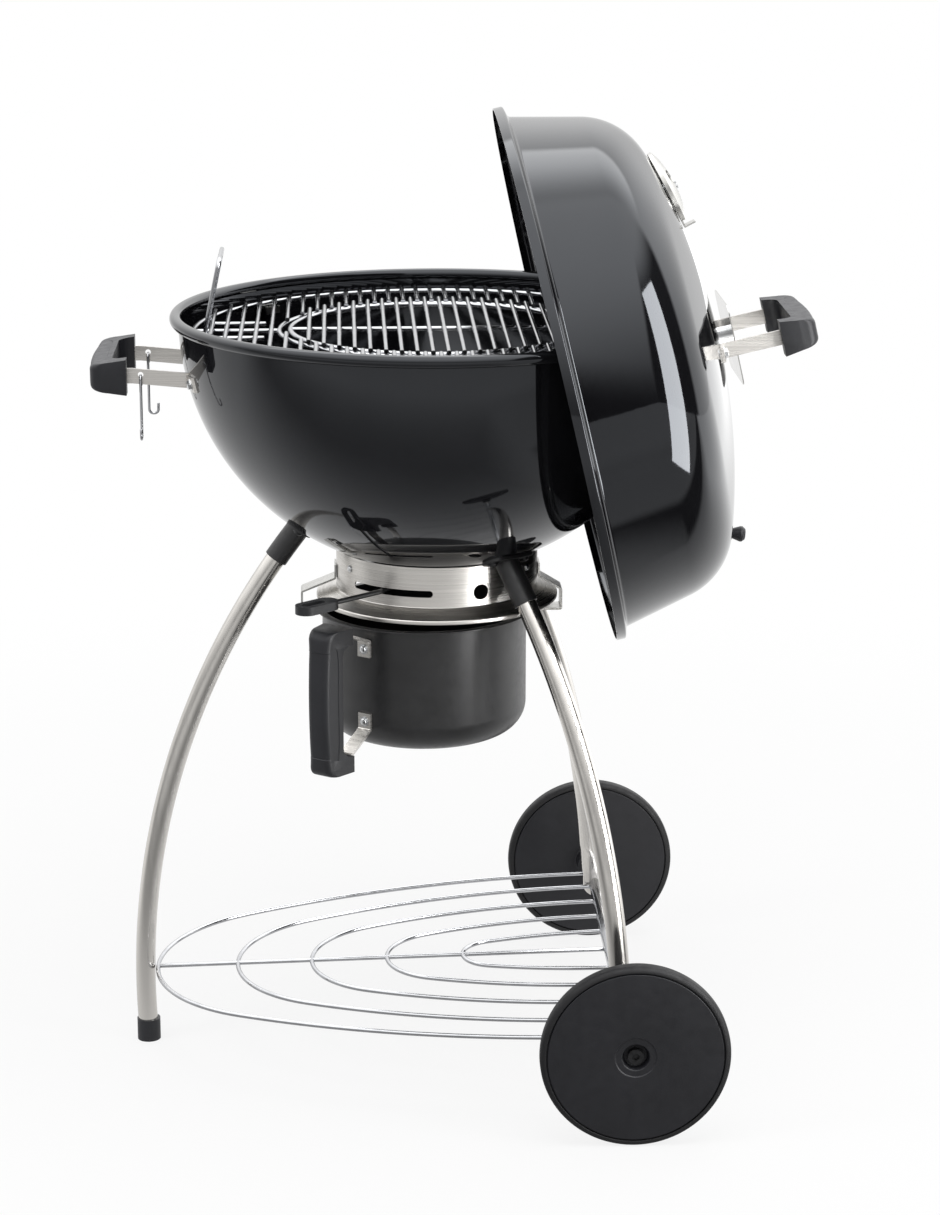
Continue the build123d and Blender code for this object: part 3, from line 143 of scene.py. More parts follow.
class KettleWires(bpy.types.PropertyGroup):
    """Sizes of the grates, the shelf and the tool hooks."""

    grate_z: length("Grate height", "Height of the cooking grate's rings", 0.812)
    grate_r: length("Grate radius", "Radius of the cooking grate's ring", 0.2595)
    inner_r: length("Inner ring radius", "Radius of the ring that carries the insert", 0.168)
    ring_wire_r: length("Ring wire radius", "Radius of the ring's wire", 0.003)
    bar_r: length("Bar radius", "Radius of a bar", 0.0025)
    pitch: length("Bar pitch", "From bar to bar", 0.016)
    rise: length("Bar rise", "How far the bars lie above the rings", 0.0045)
    past: length("Bar end", "How far the bars pass their ring", 0.0025)
    bars: IntProperty(name="Bars", description="Bars of the cooking grate", default=31)
    insert_r: length("Insert ring radius", "Radius of the insert's ring", 0.156)
    insert_reach: length("Insert reach", "Radius to the ends of the insert's bars", 0.1695)
    insert_bars: IntProperty(name="Insert bars", description="Bars of the insert", default=18)
    insert_z: length("Insert height", "Height of the insert's bars", 0.8178)
    loop_half: length("Loop half width", "Half the width of a lifting loop", 0.044)
    loop_foot: length("Loop foot", "From the axis to where a loop bends up", 0.247)
    loop_top: length("Loop top", "From the axis to a loop's top", 0.229)
    loop_z: length("Loop height", "Height of a loop's top", 0.895)
    loop_bend: length("Loop bend", "Radius of a loop's bends", 0.009)
    coal_z: length("Coal grate height", "Height of the coal grate's ring", 0.660)
    coal_r: length("Coal grate radius", "Radius of the coal grate's ring", 0.198)
    coal_pitch: length("Coal bar pitch", "From bar to bar of the coal grate", 0.020)
    coal_bars: IntProperty(name="Coal bars", description="Bars of the coal grate", default=19)
    shelf_r: length("Shelf wire radius", "Radius of the shelf's wires", 0.0025)
    sleeve_r: length("Sleeve radius", "Outside of the shelf's sleeves on the axle", 0.008)
    sleeve_past: length("Sleeve end", "How far the outer sleeves pass the outer wire", 0.0055)
    shelf_front_z: length("Shelf front height", "Height of the shelf's tip", 0.087)
    shelf_rear_z: length("Shelf rear height", "Height where the wires reach the axle", 0.099)
    tip_share: FloatProperty(
        name="Tip share",
        description="A tip's radius as a share of its half width",
        default=0.68,
        subtype="FACTOR",
    )
    hook_at: length("Hook place", "From the bowl's axis to the tool hooks", 0.313)
    hook_z: length("Hook height", "Height of the hooks' tops", 0.777)
    hook_aside: length("Hook aside", "From the middle to a hook", 0.066)
    hook_r: length("Hook radius", "Radius of a hook's wire", 0.0015)
    hook_bend: length("Hook bend", "Half the width of a hook's bend", 0.005)
    hook_drop: length("Hook drop", "Length of a hook", 0.066)
    hook_tip: length("Hook tip", "Length of a hook's end", 0.011)


class KettleStand(bpy.types.PropertyGroup):
    """Sizes of the legs, wheels, ash ring and ash can."""

    leg_r: length("Leg radius", "Radius of a leg's tube", 0.011)
    leg_arc_r: length("Leg arc radius", "Radius of a leg's bend", 0.857)
    leg_arc_in: length("Leg arc middle", "From the bowl's axis to the middle of a leg's bend", -0.5263)
    leg_arc_z: length("Leg arc height", "Height of the middle of a leg's bend", 0.0696)
    leg_top: length("Front leg top", "Height of the front leg's upper end", 0.590)
    rear_top: length("Rear leg top", "Height of a rear leg's upper end", 0.566)
    front_end: length("Front leg end", "Height of the front leg's lower end", 0.006)
    rear_end: length("Rear tube end", "Height where a rear leg starts to flatten", 0.152)
    rear_at: turn("Rear leg angle", "Angle of a rear leg's plane", 44.6)
    rear_aside: length("Rear leg aside", "How far a rear leg's plane lies beside the axis", 0.0175)
    rear_closer: length("Rear leg closer", "How much closer the rear legs' bend lies", 0.0467)
    tab_wide: length("Flattened width", "Width of a rear leg's flattened end", 0.030)
    tab_thick: length("Flattened thickness", "Thickness of a rear leg's flattened end", 0.008)
    tab_top: length("Flattened top", "Height where a rear leg is fully flat", 0.114)
    wheel_r: length("Wheel radius", "Outside of a tyre", 0.100)
    face_r: length("Wheel face radius", "Radius of a wheel's face", 0.0936)
    face_y: length("Wheel face place", "From the middle to a wheel's face", 0.311)
    wheel_thick: length("Wheel thickness", "Through a wheel's rim", 0.018)
    boss_r: length("Hub radius", "Radius of a wheel's hub", 0.017)
    boss_long: length("Hub length", "How far a hub stands out inside", 0.022)
    groove: length("Wheel groove", "Width and depth of the groove round a wheel's face", 0.0014)
    hub_r: length("Hub recess radius", "Radius of the recess around the axle screw", 0.0145)
    hub_deep: length("Hub recess depth", "Depth of the recess around the axle screw", 0.009)
    axle_r: length("Axle radius", "Radius of the axle", 0.005)
    tyre_edge: length("Tyre edge", "Roundness of a tyre's edges", 0.0055)
    can_r: length("Can radius", "Outside of the ash can", 0.112)
    can_wall: length("Can wall", "Thickness of the can's sheet", 0.0014)
    can_top: length("Can top", "Height of the can's rim", 0.507)
    can_floor: length("Can floor", "Height of the can's floor", 0.367)
    can_corner: length("Can corner", "Roundness of the can's lower corner", 0.033)
    can_rim_r: length("Can rim radius", "Outside of the can's rim", 0.119)
    can_rim: length("Can rim thickness", "Thickness of the can's rim", 0.002)
    can_lug_r: length("Can lug radius", "From the can's axis to a lug's end", 0.127)
    can_lug_wide: length("Can lug width", "Width of a lug", 0.026)
    ring_r: length("Ash ring radius", "Outside of the ash ring", 0.110)
    ring_wall: length("Ash ring wall", "Thickness of the ash ring's sheet", 0.0015)
    ring_top: length("Ash ring top", "Height of the ash ring's upper edge", 0.5761)
    ring_foot: length("Ash ring foot", "Height where the skirt leaves the ash ring", 0.530)
    skirt_r: length("Skirt radius", "Outside of the skirt", 0.132)
    skirt_z: length("Skirt height", "Height of the skirt's edge", 0.522)
    skirt_lip: length("Skirt lip", "Height of the skirt's turned edge", 0.003)
    slot_z: length("Slot height", "Height of the lever's slot", 0.547)
    slot_high: length("Slot width", "Width of the lever's slot", 0.0075)
    slot_from: turn("Slot start", "Where the lever's slot starts, from the front", 4)
    slot_to: turn("Slot end", "Where the lever's slot ends, from the front", 55)
    hole_r: length("Draught hole radius", "Radius of the round hole in the ash ring", 0.0086)
    hole_at: turn("Draught hole place", "Where the round hole is, from the front", -23.5)
    arm_thick: length("Arm thickness", "Thickness of the handles' arms and brackets", 0.003)
    arm_foot: length("Arm foot", "From the middle to the bolt in an arm's foot", 0.078)
    bolt_r: length("Bolt head radius", "Radius of a bolt's head", 0.0055)
    bolt_high: length("Bolt head height", "Height of a bolt's head", 0.0036)
    bolt_long: length("Bolt length", "Length of a bolt under its head", 0.009)
    socket_bolt: length("Socket bolt place", "From a socket's middle to its bolts", 0.024)
    rivet_z: length("Rivet height", "Height of the ash ring's rivets", 0.562)


class KettleFinishes(bpy.types.PropertyGroup):
    """Colours of the finishes."""

    enamel: paint("Enamel", "Black enamel of the bowl and lid", 0.006, 0.006, 0.007)
    satin: paint("Satin black", "Black of the can and the sockets", 0.020, 0.020, 0.021)
    steel: paint("Brushed steel", "Ash ring, arms, brackets and legs", 0.62, 0.60, 0.57)
    mirror: paint("Plated steel", "Damper, heat shield, clips and hidden steel", 0.50, 0.495, 0.475)
    chrome: paint("Chromed wire", "Grates, shelf and tool hooks", 0.42, 0.425, 0.44)
    plastic: paint("Grip plastic", "Moulded grips", 0.014, 0.0145, 0.0175)
    wheel: paint("Wheel plastic", "Wheel discs", 0.0085, 0.0087, 0.0115)
    rubber: paint("Tyre", "Tyres", 0.0045, 0.0045, 0.0055)
    zinc: paint("Zinc", "Bright bolts and screws", 0.66, 0.67, 0.68)


class KettleStudio(bpy.types.PropertyGroup):
    """Camera and floor."""

    camera: FloatVectorProperty(
        name="Camera", description="Place of the camera", default=(-0.11835, -3.2544, 1.3831), subtype="XYZ"
    )
    look_down: turn("Look down", "How far the camera looks below the horizon", 15.126)
    look_right: turn("Look right", "How far the camera is turned to the right", 2.406)
    lens: FloatProperty(name="Lens", description="Focal length in millimetres", default=90.87)
    floor: paint("Floor", "Colour of the floor", 0.80, 0.80, 0.80)


def settings(name):
    """One of this file's groups of sizes, on the scene."""
    return getattr(bpy.context.scene, name)


# Outlines and meshes


def rounded(corners, closed=False, steps=6):
    """Points of a line through corners (point, radius), each bend rounded by its radius."""
    points = []
    count = len(corners)
    for index, (corner, radius) in enumerate(corners):
        here = Vector(corner)
        at_end = not closed and index in (0, count - 1)
        if at_end or radius <= 0:
            points.append(here)
            continue
        back = (Vector(corners[index - 1][0]) - here).normalized()
        ahead = (Vector(corners[(index + 1) % count][0]) - here).normalized()
        half = acos(max(-1, min(1, back.dot(ahead)))) / 2
        middle = (back + ahead).normalized()
        along = (ahead - back).normalized()
        centre = here + middle * (radius / sin(half))
        sweep = pi / 2 - half
        for step in range(steps + 1):
            angle = sweep * (2 * step / steps - 1)
            points.append(centre + (along * sin(angle) - middle * cos(angle)) * radius)
    return points


def arc(centre, radius, start, end, steps):
    """Points of a flat arc between two angles."""
    turns = [start + (end - start) * step / steps for step in range(steps + 1)]
    return [Vector((centre[0] + radius * cos(a), centre[1] + radius * sin(a))) for a in turns]


def add_lathe(bm, outline, origin, axis, start, segments=128):
    """Turn an outline of (distance, height) points about an axis. It closes on itself or on the axis."""
    side = axis.cross(start)
    rows = []
    for away, high in outline:
        base = origin + axis * high
        if away < 1e-6:
            rows.append([bm.verts.new(base)])
            continue
        turns = [2 * pi * step / segments for step in range(segments)]
        rows.append([bm.verts.new(base + (start * cos(a) + side * sin(a)) * away) for a in turns])
    pairs = list(zip(rows, rows[1:]))
    if len(rows[0]) > 1:
        pairs.append((rows[-1], rows[0]))
    for lower, upper in pairs:
        for step in range(segments):
            ahead = (step + 1) % segments
            ring = [lower[step % len(lower)], lower[ahead % len(lower)]]
            ring += [upper[ahead % len(upper)], upper[step % len(upper)]]
            corners = list(dict.fromkeys(ring))
            if len(corners) > 2:
                bm.faces.new(corners)


def add_loft(bm, rows):
    """Skin closed rows of points, and close both ends."""
    made = [[bm.verts.new(point) for point in row] for row in rows]
    for lower, upper in zip(made, made[1:]):
        for step in range(len(lower)):
            ahead = (step + 1) % len(lower)
            bm.faces.new((lower[step], lower[ahead], upper[ahead], upper[step]))
    bm.faces.new(made[0])
    bm.faces.new(made[-1])


def add_tube(bm, points, radius, sides=12, closed=False):
    """A round wire along points, with low domes on its ends."""
    count = len(points)
    ways = []
    for index in range(count):
        back = points[index - 1] if closed or index else points[0]
        ahead = points[(index + 1) % count] if closed or index < count - 1 else points[-1]
        ways.append((ahead - back).normalized())
    across = ways[0].orthogonal().normalized()
    rows = []
    for point, way in zip(points, ways):
        across = (across - way * across.dot(way)).normalized()
        rows.append((point, across.copy(), way.cross(across), radius))
    if not closed:
        for end, way, index in ((points[0], -ways[0], 0), (points[-1], ways[-1], -1)):
            _, first, second, _ = rows[index]
            bulge = way * radius * 0.45
            domes = [(end + bulge * sin(a), first, second, radius * cos(a)) for a in (0.6, 1.15)]
            rows = domes[::-1] + rows if index == 0 else rows + domes
    loops = []
    for point, first, second, wide in rows:
        turns = [2 * pi * step / sides for step in range(sides)]
        loops.append([bm.verts.new(point + (first * cos(a) + second * sin(a)) * wide) for a in turns])
    pairs = list(zip(loops, loops[1:]))
    if closed:
        pairs.append((loops[-1], loops[0]))
    for lower, upper in pairs:
        for step in range(sides):
            ahead = (step + 1) % sides
            bm.faces.new((lower[step], lower[ahead], upper[ahead], upper[step]))
    if not closed:
        bm.faces.new(loops[0])
        bm.faces.new(loops[-1])


def add_prism(bm, outline, depth):
    """A block from a closed outline of points, pushed along a depth."""
    low = [bm.verts.new(point) for point in outline]
    high = [bm.verts.new(Vector(point) + depth) for point in outline]
    for step in range(len(low)):
        ahead = (step + 1) % len(low)
        bm.faces.new((low[step], low[ahead], high[ahead], high[step]))
    bm.faces.new(low)
    bm.faces.new(high)


def new_object(name, bm):
    """An object from a finished mesh, its doubles merged and its faces turned outwards."""
    bmesh.ops.remove_doubles(bm, verts=bm.verts, dist=2e-6)
    bmesh.ops.recalc_face_normals(bm, faces=bm.faces)
    mesh = bpy.data.meshes.new(name)
    bm.to_mesh(mesh)
    bm.free()
    made = bpy.data.objects.new(name, mesh)
    bpy.context.scene.collection.objects.link(made)
    return made


def plain_mesh(made):
    """Put an object's modifiers into its mesh and drop them."""
    shown = made.evaluated_get(bpy.context.evaluated_depsgraph_get())
    old = made.data
    mesh = bpy.data.meshes.new_from_object(shown)
    made.modifiers.clear()
    made.data = mesh
    bpy.data.meshes.remove(old)
    mesh.name = made.name


def cut(made, cutter):
    """Take a cutter's shape out of an object."""
    modifier = made.modifiers.new("cut", "BOOLEAN")
    modifier.operation = "DIFFERENCE"
    modifier.solver = "EXACT"
    modifier.object = cutter
    plain_mesh(made)
    spare = cutter.data
    bpy.data.objects.remove(cutter)
    bpy.data.meshes.remove(spare)


def finish_of(slot):
    """The finish made for one of the record's slots."""
    return bpy.data.materials[slot + FINISHED]


def dress(made, body, slot, *nodes, sharp=32.0):
    """Shade a piece, give it its finish and set it in the frame."""
    mesh = made.data
    mesh.polygons.foreach_set("use_smooth", [True] * len(mesh.polygons))
    mesh.set_sharp_from_angle(angle=radians(sharp))
    mesh.materials.clear()
    mesh.materials.append(finish_of(slot))
    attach(made, body)
    if nodes:
        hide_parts(*nodes)
    return made


# Geometry node trees


def new_tree(name, inputs):
    """A geometry tree with named inputs, its input node and its output node."""
    tree = bpy.data.node_groups.new(name, "GeometryNodeTree")
    tree.is_modifier = True
    for label, kind in inputs:
        tree.interface.new_socket(label, in_out="INPUT", socket_type=kind)
    tree.interface.new_socket("Geometry", in_out="OUTPUT", socket_type="NodeSocketGeometry")
    return tree, tree.nodes.new("NodeGroupInput"), tree.nodes.new("NodeGroupOutput")


def wire_up(tree, kind, **inputs):
    """A node of a tree with its inputs linked, or set to plain values. Names use _ for spaces."""
    node = tree.nodes.new(kind)
    for label, value in inputs.items():
        key = int(label[1:]) if label[1:].isdigit() else label.replace("_", " ")
        if isinstance(value, bpy.types.NodeSocket):
            tree.links.new(value, node.inputs[key])
        else:
            node.inputs[key].default_value = value
    return node


def reckon(tree, operation, *values):
    """A math node's result."""
    node = tree.nodes.new("ShaderNodeMath")
    node.operation = operation
    for index, value in enumerate(values):
        if isinstance(value, bpy.types.NodeSocket):
            tree.links.new(value, node.inputs[index])
        else:
            node.inputs[index].default_value = value
    return node.outputs[0]


def finish_tree(tree, geometry, material, output):
    """Smooth, realize, colour and hand out a tree's geometry."""
    smooth = wire_up(tree, "GeometryNodeSetShadeSmooth", Geometry=geometry)
    real = wire_up(tree, "GeometryNodeRealizeInstances", Geometry=smooth.outputs[0])
    coloured = wire_up(tree, "GeometryNodeSetMaterial", Geometry=real.outputs[0], Material=material)
    tree.links.new(coloured.outputs[0], output.inputs[0])


def bars_tree():
    """A row of round bars along Y, cut to a circle and to the band outside a hole in it."""
    tree, given, output = new_tree(
        "grate_bars",
        [
            ("Count", "NodeSocketInt"),
            ("Pitch", "NodeSocketFloat"),
            ("Reach", "NodeSocketFloat"),
            ("Hole", "NodeSocketFloat"),
            ("Bar radius", "NodeSocketFloat"),
            ("Middle", "NodeSocketVector"),
            ("Material", "NodeSocketMaterial"),
        ],
    )
    get = given.outputs
    gaps = reckon(tree, "SUBTRACT", get["Count"], 1.0)
    first = reckon(tree, "MULTIPLY", reckon(tree, "MULTIPLY", gaps, get["Pitch"]), -0.5)
    start = wire_up(tree, "ShaderNodeCombineXYZ", X=first)
    step = wire_up(tree, "ShaderNodeCombineXYZ", X=get["Pitch"])
    row = wire_up(
        tree,
        "GeometryNodeMeshLine",
        Count=get["Count"],
        Start_Location=start.outputs[0],
        Offset=step.outputs[0],
    )
    unit = wire_up(tree, "GeometryNodeCurvePrimitiveLine", Start=(0, 0, 0), End=(0, 1, 0))
    placed = wire_up(tree, "GeometryNodeInstanceOnPoints", Points=row.outputs[0], Instance=unit.outputs[0])
    lines = wire_up(tree, "GeometryNodeRealizeInstances", Geometry=placed.outputs[0])
    spot = tree.nodes.new("GeometryNodeInputPosition").outputs[0]
    place = wire_up(tree, "ShaderNodeSeparateXYZ", Vector=spot)
    aside = place.outputs["X"]
    share = place.outputs["Y"]
    square = reckon(tree, "MULTIPLY", aside, aside)
    end = reckon(tree, "SQRT", reckon(tree, "SUBTRACT", reckon(tree, "POWER", get["Reach"], 2.0), square))
    left = reckon(tree, "SUBTRACT", reckon(tree, "POWER", get["Hole"], 2.0), square)
    edge = reckon(tree, "SQRT", reckon(tree, "MAXIMUM", left, 0.0))
    crosses = reckon(tree, "GREATER_THAN", left, 0.0)
    whole = reckon(tree, "SUBTRACT", 1.0, crosses)
    begin = reckon(tree, "SUBTRACT", edge, reckon(tree, "MULTIPLY", whole, end))
    along = reckon(tree, "MULTIPLY_ADD", reckon(tree, "SUBTRACT", end, begin), share, begin)
    halves = []
    for side in (1.0, -1.0):
        moved = wire_up(tree, "ShaderNodeCombineXYZ", X=aside, Y=reckon(tree, "MULTIPLY", along, side))
        kept = lines.outputs[0]
        if side < 0:
            kept = wire_up(tree, "GeometryNodeDeleteGeometry", Geometry=kept, Selection=whole).outputs[0]
        cut_line = wire_up(tree, "GeometryNodeSetPosition", Geometry=kept, Position=moved.outputs[0])
        halves.append(cut_line.outputs[0])
    joined = tree.nodes.new("GeometryNodeJoinGeometry")
    for half in halves:
        tree.links.new(half, joined.inputs[0])
    shifted = wire_up(tree, "GeometryNodeTransform", Geometry=joined.outputs[0], Translation=get["Middle"])
    round_wire = wire_up(tree, "GeometryNodeCurvePrimitiveCircle", Resolution=12, Radius=get["Bar radius"])
    skin = tree.nodes.new("GeometryNodeCurveToMesh")
    tree.links.new(shifted.outputs[0], skin.inputs["Curve"])
    tree.links.new(round_wire.outputs[0], skin.inputs["Profile Curve"])
    skin.inputs["Fill Caps"].default_value = True
    finish_tree(tree, skin.outputs[0], get["Material"], output)
    return tree


def heads_tree():
    """Bolts, rivets or screws on points, each turned to the point's facing."""
    tree, given, output = new_tree(
        "fixing_heads",
        [
            ("Geometry", "NodeSocketGeometry"),
            ("Sides", "NodeSocketInt"),
            ("Head radius", "NodeSocketFloat"),
            ("Head height", "NodeSocketFloat"),
            ("Dome", "NodeSocketFloat"),
            ("Washer radius", "NodeSocketFloat"),
            ("Washer thickness", "NodeSocketFloat"),
            ("Shank radius", "NodeSocketFloat"),
            ("Shank length", "NodeSocketFloat"),
            ("Material", "NodeSocketMaterial"),
        ],
    )
    get = given.outputs
    one = tree.nodes.new("GeometryNodeJoinGeometry")

    def add_round(sides, radius, depth, middle):
        disc = wire_up(tree, "GeometryNodeMeshCylinder", Vertices=sides, Radius=radius, Depth=depth)
        lift = wire_up(tree, "ShaderNodeCombineXYZ", Z=middle)
        moved = wire_up(tree, "GeometryNodeTransform", Geometry=disc.outputs[0], Translation=lift.outputs[0])
        tree.links.new(moved.outputs[0], one.inputs[0])

    head_middle = reckon(tree, "MULTIPLY_ADD", get["Head height"], 0.5, get["Washer thickness"])
    add_round(get["Sides"], get["Head radius"], get["Head height"], head_middle)
    washer_middle = reckon(tree, "MULTIPLY", get["Washer thickness"], 0.5)
    add_round(32, get["Washer radius"], get["Washer thickness"], washer_middle)
    shank_middle = reckon(tree, "MULTIPLY", get["Shank length"], -0.5)
    add_round(20, get["Shank radius"], get["Shank length"], shank_middle)
    ball = wire_up(tree, "GeometryNodeMeshUVSphere", Segments=32, Rings=16, Radius=1.0)
    crown_wide = reckon(tree, "MULTIPLY", get["Head radius"], 0.85)
    crown_size = wire_up(tree, "ShaderNodeCombineXYZ", X=crown_wide, Y=crown_wide, Z=get["Dome"])
    crown_high = reckon(tree, "ADD", get["Head height"], get["Washer thickness"])
    crown_up = wire_up(tree, "ShaderNodeCombineXYZ", Z=crown_high)
    crown = wire_up(
        tree,
        "GeometryNodeTransform",
        Geometry=ball.outputs[0],
        Translation=crown_up.outputs[0],
        Scale=crown_size.outputs[0],
    )
    tree.links.new(crown.outputs[0], one.inputs[0])
    facing = tree.nodes.new("GeometryNodeInputNamedAttribute")
    facing.data_type = "FLOAT_VECTOR"
    facing.inputs["Name"].default_value = "facing"
    turned = tree.nodes.new("FunctionNodeAlignRotationToVector")
    turned.axis = "Z"
    tree.links.new(facing.outputs[0], turned.inputs["Vector"])
    placed = wire_up(
        tree,
        "GeometryNodeInstanceOnPoints",
        Points=get["Geometry"],
        Instance=one.outputs[0],
        Rotation=turned.outputs[0],
    )
    finish_tree(tree, placed.outputs[0], get["Material"], output)
    return tree


def run_tree(made, tree, **values):
    """Run a tree on an object with its inputs set, and keep the result as a plain mesh."""
    modifier = made.modifiers.new(tree.name, "NODES")
    modifier.node_group = tree
    for item in tree.interface.items_tree:
        key = item.name.lower().replace(" ", "_")
        if item.in_out == "INPUT" and key in values:
            modifier[item.identifier] = values[key]
    plain_mesh(made)


# Finishes


class Finish:
    """A material under construction."""

    def __init__(self, name, colour, metallic, roughness):
        self.material = bpy.data.materials.new(name + FINISHED)
        self.material.use_nodes = True
        self.tree = self.material.node_tree
        self.shader = self.tree.nodes["Principled BSDF"]
        self.shader.inputs["Base Color"].default_value = (*colour, 1)
        self.shader.inputs["Metallic"].default_value = metallic
        self.shader.inputs["Roughness"].default_value = roughness
        self.place = self.tree.nodes.new("ShaderNodeTexCoord").outputs["Object"]
        self.colour = colour

    def noise(self, scale, stretch=(1, 1, 1), detail=3.0):
        """A noise in the object's own place, stretched along an axis where asked."""
        mapping = wire_up(self.tree, "ShaderNodeMapping", Vector=self.place, Scale=stretch)
        node = wire_up(self.tree, "ShaderNodeTexNoise", Vector=mapping.outputs[0], Scale=scale, Detail=detail)
        return node.outputs[0]

    def shade(self, pattern, dark, light):
        """Vary the colour between a darker and a lighter share of itself."""
        ramp = self.tree.nodes.new("ShaderNodeValToRGB")
        ramp.color_ramp.elements[0].position = 0.3
        ramp.color_ramp.elements[1].position = 0.7
        ramp.color_ramp.elements[0].color = (*(c * dark for c in self.colour), 1)
        ramp.color_ramp.elements[1].color = (*(min(1, c * light) for c in self.colour), 1)
        self.tree.links.new(pattern, ramp.inputs[0])
        self.tree.links.new(ramp.outputs[0], self.shader.inputs["Base Color"])

    def rough(self, pattern, low, high):
        """Vary the roughness."""
        band = wire_up(self.tree, "ShaderNodeMapRange", Value=pattern)
        band.inputs["From Min"].default_value = 0.3
        band.inputs["From Max"].default_value = 0.7
        band.inputs["To Min"].default_value = low
        band.inputs["To Max"].default_value = high
        self.tree.links.new(band.outputs[0], self.shader.inputs["Roughness"])

    def relief(self, pattern, strength, distance):
        """Raise and sink the surface."""
        bump = wire_up(self.tree, "ShaderNodeBump", Height=pattern, Strength=strength, Distance=distance)
        self.tree.links.new(bump.outputs[0], self.shader.inputs["Normal"])


def make_finishes(paints):
    """Every finish of the grill, by its slot's name."""
    enamel = Finish("black_enamel", paints.enamel, 0, 0.06)
    enamel.shade(enamel.noise(14), 0.85, 1.2)
    enamel.rough(enamel.noise(30), 0.035, 0.06)
    enamel.relief(enamel.noise(120, detail=1.0), 0.04, 0.0003)
    enamel.shader.inputs["Specular Tint"].default_value = (0.90, 0.94, 1.0, 1)

    for name, low, high in (("black_paint", 0.34, 0.46), ("satin_black", 0.30, 0.40)):
        satin = Finish(name, paints.satin, 0, 0.4)
        satin.shade(satin.noise(40), 0.8, 1.25)
        satin.rough(satin.noise(160), low, high)
        satin.relief(satin.noise(900), 0.12, 0.0003)

    legs = Finish("leg_steel", paints.steel, 1, 0.2)
    legs.shade(legs.noise(90, (1, 1, 0.08)), 0.92, 1.06)
    legs.rough(legs.noise(260, (1, 1, 0.05)), 0.16, 0.26)
    legs.relief(legs.noise(1600, (1, 1, 0.02)), 0.05, 0.0002)

    brushed = Finish("brushed_steel", paints.steel, 1, 0.3)
    brushed.shade(brushed.noise(30, (0.1, 0.1, 40)), 0.86, 1.1)
    brushed.rough(brushed.noise(40, (0.2, 0.2, 60)), 0.24, 0.38)
    brushed.relief(brushed.noise(30, (0.3, 0.3, 90)), 0.12, 0.0002)
    brushed.shader.inputs["Anisotropic"].default_value = 0.4

    for name, low, high in (("plated_steel", 0.24, 0.36), ("mirror_steel", 0.04, 0.10)):
        plate = Finish(name, paints.mirror, 1, 0.15)
        plate.shade(plate.noise(60), 0.9, 1.06)
        plate.rough(plate.noise(140), low, high)
        plate.relief(plate.noise(500), 0.03, 0.0003)

    chrome = Finish("chromed_wire", paints.chrome, 1, 0.14)
    chrome.shade(chrome.noise(80), 0.9, 1.05)
    chrome.rough(chrome.noise(200), 0.10, 0.2)
    chrome.relief(chrome.noise(700), 0.03, 0.0003)

    for name, colour, low, high, grain in (
        ("black_plastic", paints.plastic, 0.42, 0.54, 1500),
        ("wheel_plastic", paints.wheel, 0.46, 0.58, 1200),
        ("wheel_rubber", paints.rubber, 0.55, 0.70, 900),
    ):
        mould = Finish(name, colour, 0, 0.5)
        mould.shade(mould.noise(25), 0.88, 1.14)
        mould.rough(mould.noise(90), low, high)
        mould.relief(mould.noise(grain), 0.18, 0.0003)
        mould.shader.inputs["Specular IOR Level"].default_value = 0.36

    dark = Finish("black_screws", paints.satin, 0.6, 0.35)
    dark.shade(dark.noise(150), 0.8, 1.5)
    dark.rough(dark.noise(300), 0.28, 0.42)
    bright = Finish("bright_fixings", paints.zinc, 1, 0.25)
    bright.shade(bright.noise(150), 0.85, 1.08)
    bright.rough(bright.noise(300), 0.18, 0.32)


# Operators


class KettleFinishing(bpy.types.Operator):
    """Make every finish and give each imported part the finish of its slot, and the damper a darker one."""

    bl_idname = "kettle.finishes"
    bl_label = "Finishes"

    def execute(self, context):
        make_finishes(settings("kettle_finishes"))
        darker = ("vent_damper",)
        for row in frame["record"]["subparts"]:
            slot = "plated_steel" if row["node"] in darker else row["material_slot"]
            for place in frame["nodes"][row["node"]].material_slots:
                place.material = finish_of(slot)
        return {"FINISHED"}


class KettleBowl(bpy.types.Operator):
    """The fire bowl: a half sphere with a rolled rim and three ash openings."""

    bl_idname = "kettle.bowl"
    bl_label = "Bowl"

    def execute(self, context):
        size = settings("kettle_shells")
        centre = Vector((BOWL_X, 0, size.rim_z))
        inner = size.bowl_r - size.bowl_wall
        bead_low = radians(-113)
        bead_end = radians(225)
        bead = (size.bead_ring_r, -size.bead_drop)
        bead_points = arc(bead, size.bead_r, bead_low, bead_end, 28)
        outside = atan2(bead_points[0].y, bead_points[0].x)
        inside = atan2(bead_points[-1].y, bead_points[-1].x)
        outline = arc((0, 0), size.bowl_r, -pi / 2, outside, 64)[:-1]
        outline += bead_points
        outline += arc((0, 0), inner, inside, -pi / 2, 48)[1:]
        bm = bmesh.new()
        add_lathe(bm, outline, centre, UP, RIGHT, 192)
        bowl = new_object("fire_bowl", bm)
        cutter = bmesh.new()
        radius = size.opening_wide / 2
        reach = size.opening_long / 2 - radius
        below = 0.02
        through = 0.08
        for at in (30, 150, 270):
            way = Vector((cos(radians(at)), sin(radians(at)), 0))
            aside = UP.cross(way)
            ends = arc((reach, 0), radius, -pi / 2, pi / 2, 12)
            ends += arc((-reach, 0), radius, pi / 2, 1.5 * pi, 12)
            middle = Vector((BOWL_X, 0, size.rim_z - size.bowl_r - below)) + way * size.opening_r
            add_prism(cutter, [middle + way * p.x + aside * p.y for p in ends], UP * through)
        cut(bowl, new_object("ash_openings", cutter))
        dress(bowl, "stand", "black_enamel", "bowl")
        return {"FINISHED"}


